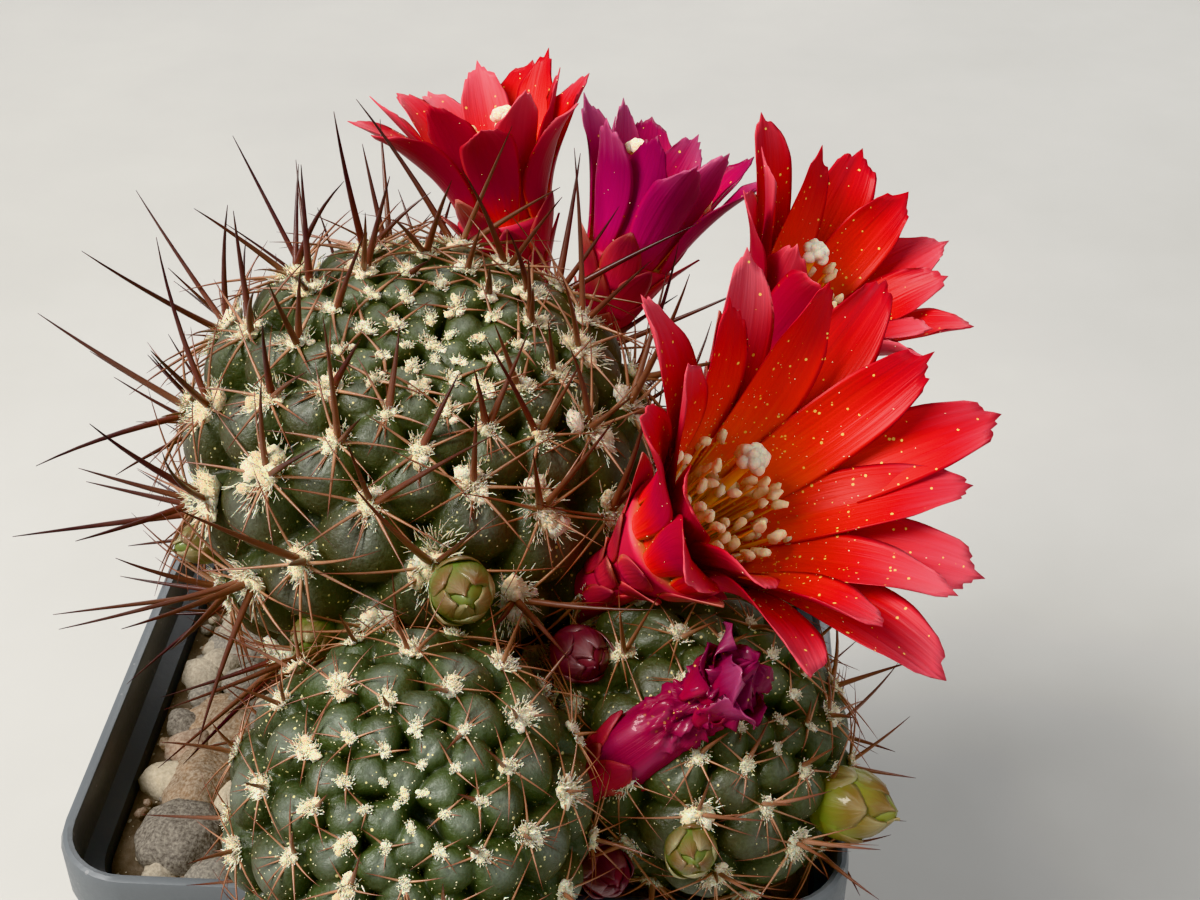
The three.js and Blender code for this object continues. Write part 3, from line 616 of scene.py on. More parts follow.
@dataclass(frozen=True)
class StoneFinish:
    """Gravel of mixed stones: each takes its own tint between buff, brown and grey."""

    name: str = "gravel_stone"

    def material(self) -> bpy.types.Material:
        """Builds the material."""
        made, sheet, shader = finish_named(self.name, Gloss(0.85, 0.3))
        tints = sheet.ramp(sheet.value("tone"), [
            (0.0, "6f6a63"), (0.18, "9a8f7e"), (0.36, "7d6248"),
            (0.52, "b3a68f"), (0.66, "57504a"), (0.82, "8a6f5c"),
        ])
        tints.color_ramp.interpolation = "CONSTANT"
        fine = sheet.mottle(2400, 4, 3)
        veined = sheet.mix(sheet.math("MULTIPLY", sheet.mottle(420, 6, 2.6), 0.45), tints, "4c443b")
        pitted = sheet.mix(sheet.math("MULTIPLY", fine, 0.3), veined, "d8cfbd")
        dress(sheet, shader, pitted, fine, 0.4, 0.2)
        return made


class Growth:
    """A Geometry Nodes tree with named inputs that grows copies and makes them real."""

    def __init__(self, name: str, inputs: dict[str, tuple[str, object]]) -> None:
        """Starts the tree.

        Args:
            name: The tree's name.
            inputs: The socket type and default of each named input.
        """
        tree = bpy.data.node_groups.new(name, "GeometryNodeTree")
        tree.interface.new_socket("Geometry", in_out="INPUT", socket_type="NodeSocketGeometry")
        tree.interface.new_socket("Geometry", in_out="OUTPUT", socket_type="NodeSocketGeometry")
        for label, (kind, value) in inputs.items():
            socket = tree.interface.new_socket(label, in_out="INPUT", socket_type=kind)
            if value is not None:
                socket.default_value = value
        self.sheet = Sheet(tree)
        self.given = self.sheet.add("NodeGroupInput")

    def named(self, name: str, kind: str = "FLOAT") -> bpy.types.NodeSocket:
        """Reads an attribute of the geometry."""
        node = self.sheet.add("GeometryNodeInputNamedAttribute", data_type=kind)
        node.inputs["Name"].default_value = name
        return next(s for s in node.outputs if s.enabled and s.name == "Attribute")

    def close(self, geometry: object) -> None:
        """Ends the tree: real copies, smooth shading and the material."""
        real = self.sheet.add("GeometryNodeSetShadeSmooth", {"Geometry": geometry})
        dressed = self.sheet.add("GeometryNodeSetMaterial", {
            "Geometry": real, "Material": self.given.outputs["Material"],
        })
        result = self.sheet.add("NodeGroupOutput")
        self.sheet.feed(result.inputs["Geometry"], dressed)

    def grow(self, source: Form, name: str, settings: dict[str, object]) -> bpy.types.Object:
        """Runs the tree on a form and keeps the result as a plain mesh.

        Args:
            source: The points or the surface that it grows on.
            name: The new piece's name.
            settings: Values of the named inputs.

        Returns:
            The piece, with no modifier left on it.
        """
        made = source.piece(name)
        modifier = made.modifiers.new("growth", "NODES")
        modifier.node_group = self.sheet.tree
        for item in self.sheet.tree.interface.items_tree:
            if item.in_out == "INPUT" and item.name in settings:
                modifier[item.identifier] = settings[item.name]
        evaluated = made.evaluated_get(bpy.context.evaluated_depsgraph_get())
        mesh = bpy.data.meshes.new_from_object(evaluated)
        made.modifiers.remove(modifier)
        made.data = mesh
        mesh.name = name
        return made


def make_strands() -> Growth:
    """Makes tapered strands, which serve as spines, wool hairs and filaments.

    A point carries aim, reach, girth, bend and tone, with lengths in metres.
    """
    growth = Growth("Strands", {
        "Material": ("NodeSocketMaterial", None),
        "Sides": ("NodeSocketInt", 5),
        "Rows": ("NodeSocketInt", 7),
        "Taper": ("NodeSocketFloat", 0.95),
    })
    sheet = growth.sheet
    given = growth.given.outputs
    line = sheet.add("GeometryNodeCurvePrimitiveLine", {"Start": (0, 0, 0), "End": (0, 0, 1)})
    rows = sheet.add("GeometryNodeResampleCurve", {"Curve": line, "Count": given["Rows"]})
    along = sheet.add("GeometryNodeSplineParameter").outputs["Factor"]
    noted = sheet.add("GeometryNodeStoreNamedAttribute", {
        "Geometry": rows, "Name": "along", "Value": along,
    }, data_type="FLOAT", domain="POINT")
    left = sheet.math("SUBTRACT", 1.0, sheet.math("MULTIPLY", growth.named("along"), given["Taper"]))
    section = sheet.add("GeometryNodeCurvePrimitiveCircle", {"Resolution": given["Sides"], "Radius": 1.0})
    strand = sheet.add("GeometryNodeCurveToMesh", {
        "Curve": noted, "Profile Curve": section.outputs["Curve"],
        "Scale": sheet.math("POWER", left, 0.8), "Fill Caps": True,
    })
    girth = growth.named("girth")
    size = sheet.add("ShaderNodeCombineXYZ", {"X": girth, "Y": girth, "Z": growth.named("reach")})
    aim = growth.named("aim", "FLOAT_VECTOR")
    turned = sheet.add("FunctionNodeAlignRotationToVector", {"Vector": aim}, axis="Z")
    copies = sheet.add("GeometryNodeInstanceOnPoints", {
        "Points": growth.given.outputs["Geometry"], "Instance": strand, "Rotation": turned, "Scale": size,
    })
    real = sheet.add("GeometryNodeRealizeInstances", {"Geometry": copies})
    squared = sheet.math("POWER", growth.named("along"), 2.0)
    bent = sheet.add("ShaderNodeVectorMath", {
        0: growth.named("bend", "FLOAT_VECTOR"), "Scale": squared,
    }, operation="SCALE")
    moved = sheet.add("GeometryNodeSetPosition", {"Geometry": real, "Offset": bent.outputs["Vector"]})
    growth.close(moved)
    return growth


def make_grains() -> Growth:
    """Makes uneven round grains, which serve as felt pads, anthers, stones and grit.

    A point carries aim, size and tone. The aim is the grain's short side.
    """
    growth = Growth("Grains", {
        "Material": ("NodeSocketMaterial", None),
        "Detail": ("NodeSocketInt", 2),
        "Unevenness": ("NodeSocketFloat", 0.2),
        "Noise Scale": ("NodeSocketFloat", 600.0),
    })
    sheet = growth.sheet
    given = growth.given.outputs
    ball = sheet.add("GeometryNodeMeshIcoSphere", {"Radius": 1.0, "Subdivisions": given["Detail"]})
    aim = growth.named("aim", "FLOAT_VECTOR")
    turned = sheet.add("FunctionNodeAlignRotationToVector", {"Vector": aim}, axis="Z")
    spun = sheet.add("FunctionNodeRotateRotation", {
        "Rotation": turned,
        "Rotate By": sheet.add("FunctionNodeAxisAngleToRotation", {
            "Axis": (0, 0, 1), "Angle": growth.named("spin"),
        }),
    }, rotation_space="LOCAL")
    copies = sheet.add("GeometryNodeInstanceOnPoints", {
        "Points": growth.given.outputs["Geometry"], "Instance": ball.outputs["Mesh"],
        "Rotation": spun, "Scale": growth.named("size", "FLOAT_VECTOR"),
    })
    real = sheet.add("GeometryNodeRealizeInstances", {"Geometry": copies})
    noise = sheet.add("ShaderNodeTexNoise", {"Scale": given["Noise Scale"], "Detail": 2.0})
    centred = sheet.math("SUBTRACT", noise.outputs["Fac"], 0.5)
    size = sheet.add("ShaderNodeVectorMath", {0: growth.named("size", "FLOAT_VECTOR")}, operation="LENGTH")
    uneven = sheet.math("MULTIPLY", centred, given["Unevenness"])
    swell = sheet.math("MULTIPLY", uneven, size.outputs["Value"])
    normal = sheet.add("GeometryNodeInputNormal")
    push = sheet.add("ShaderNodeVectorMath", {0: normal, "Scale": swell}, operation="SCALE")
    moved = sheet.add("GeometryNodeSetPosition", {"Geometry": real, "Offset": push.outputs["Vector"]})
    growth.close(moved)
    return growth


def make_dust() -> Growth:
    """Scatters small flakes over a surface where its dusting value is high."""
    growth = Growth("Dust", {
        "Material": ("NodeSocketMaterial", None),
        "Density": ("NodeSocketFloat", 100000.0),
        "Flake": ("NodeSocketFloat", 0.00018),
        "Seed": ("NodeSocketInt", 1),
    })
    sheet = growth.sheet
    given = growth.given.outputs
    spread = sheet.math("MULTIPLY", given["Density"], growth.named("dusting"))
    points = sheet.add("GeometryNodeDistributePointsOnFaces", {
        "Mesh": given["Geometry"], "Density": spread, "Seed": given["Seed"],
    }, distribute_method="RANDOM")
    flake = sheet.add("GeometryNodeMeshIcoSphere", {"Radius": given["Flake"], "Subdivisions": 1})
    scale = sheet.add("FunctionNodeRandomValue", {
        "Min": (0.5, 0.5, 0.4), "Max": (1.9, 1.5, 1.1), "Seed": 5,
    }, data_type="FLOAT_VECTOR")
    copies = sheet.add("GeometryNodeInstanceOnPoints", {
        "Points": points.outputs["Points"], "Instance": flake.outputs["Mesh"],
        "Rotation": points.outputs["Rotation"], "Scale": scale.outputs["Value"],
    })
    growth.close(sheet.add("GeometryNodeRealizeInstances", {"Geometry": copies}))
    return growth


@dataclass(frozen=True)
class Nursery:
    """The growth trees and the finishes that several pieces share."""

    strands: Growth = field(default_factory=make_strands)
    grains: Growth = field(default_factory=make_grains)
    dust: Growth = field(default_factory=make_dust)
    spine: bpy.types.Material = field(default_factory=lambda: SpineFinish().material())
    wool: bpy.types.Material = field(default_factory=lambda: WoolFinish().material())
    pollen: bpy.types.Material = field(default_factory=lambda: PlainFinish(
        "pollen_dust", "e9dfae", "f6efcf", Gloss(0.8, 0.2), grain_depth=0.02).material())
    filament: bpy.types.Material = field(default_factory=lambda: PlainFinish(
        "filament_orange", "ee9a18", "f8c050", Gloss(0.45, 0.4, 0.0, 0.3, 1.0), speck_cover=0.05).material())
    anther: bpy.types.Material = field(default_factory=lambda: PlainFinish(
        "anther_cream", "fdecb4", "fff6d6", Gloss(0.85, 0.2, 0.2, 0.35, 1.0), grain_scale=3000,
        grain_depth=0.2, speck_tint="fdf6dc").material())
    stigma: bpy.types.Material = field(default_factory=lambda: PlainFinish(
        "stigma_ivory", "fbe6c2", "fff0da", Gloss(0.7, 0.3, 0.2, 0.35, 1.0), grain_scale=3400,
        grain_depth=0.15, speck_tint="fffbea").material())


class Sprouts:
    """A list of points with values, filled one at a time."""

    names: tuple[str, ...]

    def __init__(self) -> None:
        """Starts with none."""
        self.rows: list[tuple] = []

    def form(self) -> Form:
        """Gives them as loose points with their values."""
        place, *values = (np.array(column) for column in zip(*self.rows))
        return Form(place, [], dict(zip(self.names, values)))


class Strands(Sprouts):
    """A list of strands."""

    names = ("aim", "reach", "girth", "bend", "tone")

    def add(self, foot: np.ndarray, aim: np.ndarray, reach: float, girth: float,
            bend: np.ndarray, tone: float) -> None:
        """Adds a strand.

        Args:
            foot: Where it starts, in millimetres.
            aim: The way it points.
            reach: Its length.
            girth: Its radius at the foot.
            bend: How far its tip is bent aside.
            tone: From 0, pale, to 1, dark.
        """
        self.rows.append((foot, aim, reach * MM, girth * MM, bend * MM, tone))


class Grains(Sprouts):
    """A list of grains."""

    names = ("aim", "size", "spin", "tone")

    def add(self, middle: np.ndarray, aim: np.ndarray, size: Sequence[float],
            spin: float, tone: float) -> None:
        """Adds a grain.

        Args:
            middle: Its middle, in millimetres.
            aim: The way its third side points.
            size: Its three half sizes.
            spin: Its turn round the aim, in radians.
            tone: From 0 to 1.
        """
        self.rows.append((middle, aim, np.array(size) * MM, spin, tone))


def join_pieces(first: bpy.types.Object, *others: bpy.types.Object) -> bpy.types.Object:
    """Joins grown pieces into the first, each with its own material.

    Args:
        first: The piece that is kept.
        *others: The pieces that go into it.

    Returns:
        The first piece.
    """
    both = [first, *others]
    with bpy.context.temp_override(
            active_object=first, object=first, selected_editable_objects=both, selected_objects=both):
        bpy.ops.object.join()
    return first


def revolved(axes: Axes, profile: np.ndarray, sides: int, values: Values | None = None) -> Form:
    """Turns a profile round an axis.

    Args:
        axes: Where the axis is.
        profile: Rows of radius and height. The first and last close on the axis.
        sides: Points round the axis.
        values: A number for each row by name.

    Returns:
        A closed form.
    """
    angles = np.arange(sides) * FULL_TURN / sides
    radius, height = profile[:, :1], profile[:, 1:]
    local = np.stack([radius * np.cos(angles), radius * np.sin(angles), height + 0 * angles], -1)
    return lofted(axes.place(local), {
        name: np.repeat(numbers, sides) for name, numbers in (values or {}).items()
    })


def ring_faces(rows: int, sides: int) -> list[tuple[int, ...]]:
    """Gives the faces between equal rings whose points are numbered row by row.

    Args:
        rows: How many rings.
        sides: Points in each.

    Returns:
        The faces.
    """
    faces = []
    for low in range(0, (rows - 1) * sides, sides):
        for side in range(sides):
            after = (side + 1) % sides
            faces.append((low + side, low + after, low + sides + after, low + sides + side))
    return faces


def lofted(rings: np.ndarray, values: Values) -> Form:
    """Closes a skin over equal rings, with a fan at each end.

    Args:
        rings: Points as rows of rings.
        values: A number for each point of the rings, by name.

    Returns:
        A closed form.
    """
    rows, sides = rings.shape[:2]
    faces = ring_faces(rows, sides)
    ends = [rings[0].mean(0), rings[-1].mean(0)]
    count = rows * sides
    for side in range(sides):
        after = (side + 1) % sides
        faces.append((count, after, side))
        faces.append((count + 1, count - sides + side, count - sides + after))
    closed = {name: np.concatenate([v, v[:1], v[-1:]]) for name, v in values.items()}
    return Form(np.concatenate([rings.reshape(-1, 3), ends]), faces, closed)


def closed_blade(top: np.ndarray, bottom: np.ndarray, rows: np.ndarray, across: np.ndarray,
                 tone: float) -> Form:
    """Joins the two faces of a blade at its edges.

    Args:
        top: The face towards the axis, rows by columns.
        bottom: The outer face.
        rows: Shares of the length.
        across: Places across the width.
        tone: The blade's own tint.

    Returns:
        A closed form with along, across, inner and tone.
    """
    rings = np.concatenate([top, bottom[:, -2:0:-1]], 1)
    count, sides = rings.shape[:2]
    columns = top.shape[1]
    faces = ring_faces(count, sides)
    for start in (0, (count - 1) * sides):
        faces.append((start, start + 1, start + sides - 1))
        for place in range(1, columns - 2):
            faces.append((start + place, start + place + 1, start + sides - place - 1, start + sides - place))
        faces.append((start + columns - 2, start + columns - 1, start + columns))
    ring_across = np.concatenate([across, across[-2:0:-1]])
    ring_inner = np.concatenate([[0.5], np.ones(columns - 2), [0.5], np.zeros(columns - 2)])
    return Form(rings.reshape(-1, 3), faces, {
        "along": np.repeat(rows, sides),
        "across": np.tile(ring_across, count),
        "inner": np.tile(ring_inner, count),
        "tone": np.full(count * sides, tone),
    })


EDGE_THINNING = 0.8
SCALE_ROWS = 12
SCALE_COLUMNS = 9
SCALE_GAP = 0.1
SCALE_HUG = 0.12
LEAST_BEND = 0.34


def thinned(thickness: float, across: np.ndarray, rows: np.ndarray, tip_thinning: float) -> np.ndarray:
    """Gives half the thickness over a blade, less towards its edges and its tip."""
    return thickness / 2 * (1 - EDGE_THINNING * across ** 2) * (1 - tip_thinning * rows[:, None])


@dataclass(frozen=True)
class HuggingScale:
    """A pointed scale that lies on a turned body and lifts a little at its tip."""

    foot: float
    reach: float
    azimuth: float
    width: float
    lift: float
    tone: float
    thickness: float = 0.45

    def form(self, axes: Axes, outline: np.ndarray) -> Form:
        """Builds the scale as a closed solid.

        Args:
            axes: The body's axes.
            outline: The body's heights and radii, as rows.

        Returns:
            The scale.
        """
        rows = np.linspace(0, 1, SCALE_ROWS)
        across = np.linspace(-1, 1, SCALE_COLUMNS)
        height = self.foot + self.reach * rows
        radius = np.interp(height, outline[:, 0], outline[:, 1])[:, None]
        half = self.width / 2 * np.maximum(np.sin(math.pi * (0.27 + 0.73 * rows)), 0.03) ** 0.8
        turn = self.azimuth + half[:, None] * across / np.maximum(radius, LEAST_BEND * self.width)
        off = SCALE_GAP + self.lift * rows[:, None] ** 2 - SCALE_HUG * across ** 2
        thick = thinned(self.thickness, across, rows, 0.4)
        sheets = []
        for sign in (-1, 1):
            out = radius + off + sign * thick
            local = np.stack([out * np.cos(turn), out * np.sin(turn), height[:, None] + 0 * turn], -1)
            sheets.append(axes.place(local))
        return closed_blade(sheets[0], sheets[1], rows, across, self.tone)


TOOTH_DEPTH = 0.6
TIP_ROUNDING = 2.4
POINT_LENGTH = 0.9
NOTCH_DEPTH = 0.5
NOTCH_PLACES = (0.4, -0.5)
FIRST_OPENING = 16
TIP_FROM = 0.72
EDGE_CROWDING = 0.85
GROOVE_DEPTH = 0.12
GROOVE_WIDTH = 0.16
USUAL_WIDTH = 6
FRAME_NOTCH = -1.5
FRAME_POINT = 1.6
FRAME_HALF = 0.38


class Tip(Enum):
    """How a blade ends."""

    POINTED = "pointed"
    NOTCHED = "notched"
    SMOOTH = "smooth"


@dataclass(frozen=True)
class Blade:
    """One petal or scale: a thin channelled blade that leaves its foot and bends outwards."""

    azimuth: float
    opening: float
    length: float
    width: float
    mouth: float
    start: float
    curl: float
    widths: tuple[float, ...]
    tip: Tip
    seed: int
    thickness: float = 0.5
    channel: float = 0.3
    wave: float = 0.35
    twist: float = 0.0
    fullness: float = 1.0
    rows: int = 22
    columns: int = 15

    def path(self) -> tuple[np.ndarray, np.ndarray, np.ndarray]:
        """Gives the middle line's few main points.

        Returns:
            The shares of the length, the distances out from the axis and the heights.
        """
        steps = len(self.widths) - 1
        shares = np.arange(steps + 1) / steps
        angles = self.angles(shares)
        out = np.concatenate([[0], np.cumsum(np.sin(angles[:-1]))]) * self.length / steps
        height = np.concatenate([[0], np.cumsum(np.cos(angles[:-1]))]) * self.length / steps
        return shares, self.mouth + out, self.start + height

    def angles(self, shares: np.ndarray) -> np.ndarray:
        """Gives how far the blade has opened at shares of its length, in radians."""
        opened = FIRST_OPENING + (self.opening - FIRST_OPENING) * np.minimum(shares * 1.7, 1)
        return np.radians(opened + self.curl * shares ** 3)

    def end_point(self, axes: Axes) -> np.ndarray:
        """Gives the corner of the frame's own blade at the tip, on its inner face."""
        _, out, height = self.path()
        angle = self.angles(np.array([1.0]))[0]
        reach = FRAME_NOTCH if self.tip is Tip.NOTCHED else FRAME_POINT
        far = out[-1] + reach * math.sin(angle) - FRAME_HALF * math.cos(angle)
        high = height[-1] + reach * math.cos(angle) + FRAME_HALF * math.sin(angle)
        local = np.array([far * math.cos(self.azimuth), far * math.sin(self.azimuth), high])
        return axes.place(local)

    def form(self, axes: Axes) -> Form:
        """Builds the blade as a closed solid with along, across, inner and tone."""
        random = SeededRandom(self.seed)
        shares, out, height = self.path()
        degree = len(shares) - 1
        rows = np.linspace(0, 1, self.rows)
        across = np.linspace(-1, 1, self.columns)
        across = np.sign(across) * np.abs(across) ** EDGE_CROWDING
        out_fit, height_fit, width_fit = (
            np.polyfit(shares, values, degree) for values in (out, height, self.end_widths()))
        half = np.maximum(np.polyval(width_fit, rows), 0.08) * self.width * self.fullness / 2
        slope_out = np.polyval(np.polyder(out_fit), rows)
        slope_up = np.polyval(np.polyder(height_fit), rows)
        size = np.hypot(slope_out, slope_up)
        tangent = np.stack([slope_out / size, slope_up / size], -1)
        normal = np.stack([-tangent[:, 1], tangent[:, 0]], -1)
        middle = np.stack([np.polyval(out_fit, rows), np.polyval(height_fit, rows)], -1)
        reach = self.tip_reach(across, random)
        pull = smoothstep(rows, TIP_FROM, 1.0)
        waves = self.wave * np.sin(FULL_TURN * (1.4 * rows[:, None] + 0.2 * across + random()))
        lift = half[:, None] * self.channel * across ** 2 + waves * across ** 2 * rows[:, None]
        turn = self.twist * rows[:, None] ** 1.5
        side = half[:, None] * across * np.cos(turn)
        lift = lift + half[:, None] * across * np.sin(turn)
        groove = -GROOVE_DEPTH * self.width / USUAL_WIDTH * np.exp(-((across / GROOVE_WIDTH) ** 2))
        thick = thinned(self.thickness, across, rows, 0.45)
        sheets = []
        for sign in (1, -1):
            rise = lift + sign * thick + (groove if sign > 0 else -0.6 * groove)
            plane = middle[:, None] + normal[:, None] * rise[..., None]
            plane = plane + tangent[:, None] * (pull[:, None] * reach)[..., None]
            cos, sin = math.cos(self.azimuth), math.sin(self.azimuth)
            local = np.stack([
                plane[..., 0] * cos - side * sin, plane[..., 0] * sin + side * cos, plane[..., 1],
            ], -1)
            sheets.append(axes.place(local))
        return closed_blade(sheets[0], sheets[1], rows, across, random())

    def end_widths(self) -> np.ndarray:
        """Gives the widths, with a notched end spread."""
        widths = np.array(self.widths)
        if self.tip is Tip.NOTCHED:
            widths[-1] *= 1.2
        return widths

    def tip_reach(self, across: np.ndarray, random: SeededRandom) -> np.ndarray:
        """Gives how far the end is pulled out or cut back across its width.

        Args:
            across: Places from one edge, -1, to the other, 1.
            random: The blade's own random source.

        Returns:
            The reach in millimetres.
        """
        inward = 1 - np.abs(across)
        if self.tip is Tip.SMOOTH:
            return 0.22 * self.width * inward ** 0.7
        teeth = np.array([random() - 0.4 for _ in across]) * TOOTH_DEPTH
        reach = teeth - TIP_ROUNDING * np.abs(across) ** 2.4 + POINT_LENGTH * np.exp(-((across / 0.1) ** 2))
        if self.tip is Tip.NOTCHED:
            for place in NOTCH_PLACES:
                reach -= NOTCH_DEPTH * np.exp(-(((across - place) / 0.16) ** 2))
        return reach


PETAL_WIDTHS = (0.34, 0.86, 1.0, 0.58)
PETAL_TRIES = ((0, 0, 1), (-9, 0, 1), (-16, 0, 0.9), (-4, 0.14, 0.9), (-4, -0.14, 0.9), (-20, 0, 0.7))
PETAL_ROOT = 1.1
PETAL_FULLNESS = 1.17
WHORL_STEP = 1.15
AZIMUTH_PLAY = 5
OPENING_PLAY = 8
CURL_PLAY = 26
NOTCHED_SHARE = 0.45
LARGEST_MISS = 0.5
TUBE_SHARES = (0, 0.55, 0.85, 1, 1.3)
TUBE_SCALES = 18
FILAMENTS_PER_STAMEN = 5
FILAMENT_GIRTH = 0.17
FILAMENT_DEPTH = -6.5
STIGMA_LOBES = 12
STYLE_LENGTH = 21.0
STYLE_GIRTH = 0.7
STYLE_DEPTH = -8.0


@dataclass(frozen=True)
class Whorl:
    """One ring of petals."""

    count: int
    opening: float
    length: float
    width: float


@dataclass
class Flower:
    """An open flower: a scaly tube, its whorls of petals, and the stamens in its throat."""

    name: str
    throat: tuple[float, float, float]
    axis: tuple[float, float, float]
    tube: float
    mouth: float
    whorls: tuple[Whorl, Whorl]
    lean: float
    heading: float
    phase: float
    stamens: int
    seed: int

    def __post_init__(self) -> None:
        """Sets the flower's own axes."""
        self.axes = Axes.at(self.throat, self.axis)

    def petals(self) -> list[Blade]:
        """Repeats the frame's petals, each at the try that the frame kept.

        Returns:
            The blades, innermost whorl last.
        """
        random = SeededRandom(self.seed)
        for _ in range(10):
            random()
        corners = node_points(f"flower_{self.name}")
        kept = []
        for number, whorl in enumerate(self.whorls):
            for index in range(whorl.count):
                turn = 360 * (index + number / len(self.whorls)) / whorl.count
                azimuth = math.radians(self.phase + turn + AZIMUTH_PLAY * (random() - 0.5))
                leaning = self.lean * math.cos(azimuth - math.radians(self.heading))
                opening = whorl.opening + leaning + OPENING_PLAY * (random() - 0.5)
                length = whorl.length * (0.9 + 0.14 * random()) + leaning * 0.3
                curl = CURL_PLAY * (random() - 0.3)
                tip = Tip.NOTCHED if random() < NOTCHED_SHARE else Tip.POINTED
                tries = [Blade(
                    azimuth + turned, opening + tilt, length * scale, whorl.width,
                    self.mouth - 0.25 - WHORL_STEP * number, -PETAL_ROOT, curl, PETAL_WIDTHS, tip,
                    self.seed * 100 + number * 20 + index, twist=0.3 * math.sin(7.0 * azimuth + number),
                    fullness=PETAL_FULLNESS,
                ) for tilt, turned, scale in PETAL_TRIES]
                ends = [blade.end_point(self.axes) for blade in tries]
                misses = [np.linalg.norm(corners - end, axis=1).min() for end in ends]
                if min(misses) < LARGEST_MISS:
                    kept.append(tries[int(np.argmin(misses))])
        return kept

    def tube_radii(self) -> list[float]:
        """Gives the outer radii at the tube's shares, the last one among the opened petals."""
        return [2.8, 3.2, self.mouth - 0.6, self.mouth + 0.5, self.mouth + 3]

    def tube_form(self) -> Form:
        """Builds the tube, hollow at its mouth."""
        tube, mouth = self.tube, self.mouth
        heights = np.linspace(0, 1, 26)
        radius = np.interp(heights, TUBE_SHARES, self.tube_radii())
        outer = np.stack([radius, -tube + tube * heights], -1)
        depth = np.linspace(0, 1, 10)
        inner_radius = np.interp(depth, [0, 0.5, 1], [mouth - 2.1, mouth - 3.2, 1.6])
        inner = np.stack([inner_radius, -0.2 - 9.3 * depth], -1)
        profile = np.concatenate([outer, inner])
        share = np.concatenate([np.full(len(outer), 0.06), np.full(len(inner), 0.0)])
        values = {
            "along": share, "across": share * 0,
            "inner": np.concatenate([outer[:, 0] * 0, inner[:, 0] * 0 + 1]), "tone": share * 0 + 0.5,
        }
        return revolved(self.axes, profile, 40, values)

    def scales(self) -> list[Form]:
        """Lays small fleshy scales up the outside of the tube."""
        random = SeededRandom(self.seed + 7)
        outline = np.stack([-self.tube * (1 - np.array(TUBE_SHARES)), self.tube_radii()], -1)
        forms = []
        for index in range(TUBE_SCALES):
            share = index / TUBE_SCALES
            scale = HuggingScale(
                -self.tube * (0.75 - 0.62 * share), 5 + 3.5 * share + random(),
                index * GOLDEN_ANGLE + self.phase, 3.4 + 2.4 * share, 0.5 + 1.4 * random() * share, random())
            forms.append(scale.form(self.axes, outline))
        return forms

    def build(self, finish: bpy.types.Material, scale_finish: bpy.types.Material, nursery: Nursery) -> Form:
        """Builds and dresses the flower.

        Args:
            finish: The petals' material.
            scale_finish: The tube's material.
            nursery: The shared growth trees.

        Returns:
            The flower's solid form, for what has to stand clear of it.
        """
        petals = Form.joined([blade.form(self.axes) for blade in self.petals()])
        outside = Form.joined([self.tube_form(), *self.scales()])
        made = join_pieces(petals.piece(f"bloom_{self.name}", finish), outside.piece("tube", scale_finish))
        slot = "petal_magenta" if self.name == "middle" else "petal_red"
        seat(made, slot, f"flower_{self.name}")
        dusting = petals.values["inner"] * (1 - smoothstep(petals.values["along"], 0.05, 0.75)) + 0.025
        dusted = Form(petals.points, petals.faces, {"dusting": dusting})
        dust = nursery.dust.grow(dusted, f"pollen_{self.name}", {
            "Material": nursery.pollen, "Density": POLLEN_DENSITY, "Flake": POLLEN_FLAKE, "Seed": self.seed,
        })
        seat(dust, "stamen_yellow")
        self.build_stamens(nursery)
        return Form.joined([petals, outside])

    def build_stamens(self, nursery: Nursery) -> None:
        """Grows the filaments, their anthers, the style and its stigma."""
        random = SeededRandom(self.seed + 2)
        filaments, anthers, lobes = Strands(), Grains(), Grains()
        count = self.stamens * FILAMENTS_PER_STAMEN
        ring = self.mouth - 3.4
        for index in range(count):
            share = math.sqrt((index + 0.5) / count)
            azimuth = index * GOLDEN_ANGLE
            lean = math.radians(3 + 13 * share)
            radial = np.array([math.cos(azimuth), math.sin(azimuth), 0])
            local = radial * math.sin(lean) + np.array([0, 0, math.cos(lean)])
            foot = self.axes.place(radial * ring * (0.35 + 0.65 * share) + np.array([0, 0, FILAMENT_DEPTH]))
            aim = self.axes.turn(local)
            reach = 13.5 + 6.5 * random() - 2.5 * share
            bend = self.axes.turn(radial * (random() - 0.6) * 2.4 + np.array([0, 0, -0.4]))
            filaments.add(foot, aim, reach, FILAMENT_GIRTH, bend, 0.2 + 0.5 * random())
            tip = foot + aim * reach + bend
            turned = self.scatter(aim, random)
            size = (0.6, 0.48, 0.8 + 0.35 * random())
            anthers.add(tip, turned, size, 6 * random(), random())
        foot = self.axes.place(np.array([0, 0, STYLE_DEPTH]))
        lean = self.axes.turn(np.array([0.12, -0.1, 1.0]))
        sway = self.axes.turn(np.array([0.4, -0.3, 0.0]))
        filaments.add(foot, lean, STYLE_LENGTH, STYLE_GIRTH, sway, 0.05)
        top = foot + lean * STYLE_LENGTH + sway
        for index in range(STIGMA_LOBES):
            azimuth = index * GOLDEN_ANGLE
            side = self.axes.turn(np.array([math.cos(azimuth), math.sin(azimuth), 1.3 - 0.14 * index]))
            lobes.add(top + side * (0.25 + 0.08 * index), side, (0.75, 0.85, 0.95), azimuth, 0.75)
        stalks = nursery.strands.grow(filaments.form(), f"stamen_cluster_{self.name}", {
            "Material": nursery.filament, "Sides": 5, "Rows": 7, "Taper": 0.35,
        })
        heads = nursery.grains.grow(anthers.form(), "anthers", {
            "Material": nursery.anther, "Detail": 2, "Unevenness": 0.9, "Noise Scale": 900.0,
        })
        stigma = nursery.grains.grow(lobes.form(), "stigma", {
            "Material": nursery.stigma, "Detail": 3, "Unevenness": 0.3, "Noise Scale": 1500.0,
        })
        seat(join_pieces(stalks, heads, stigma), "stamen_yellow", f"stamens_{self.name}")

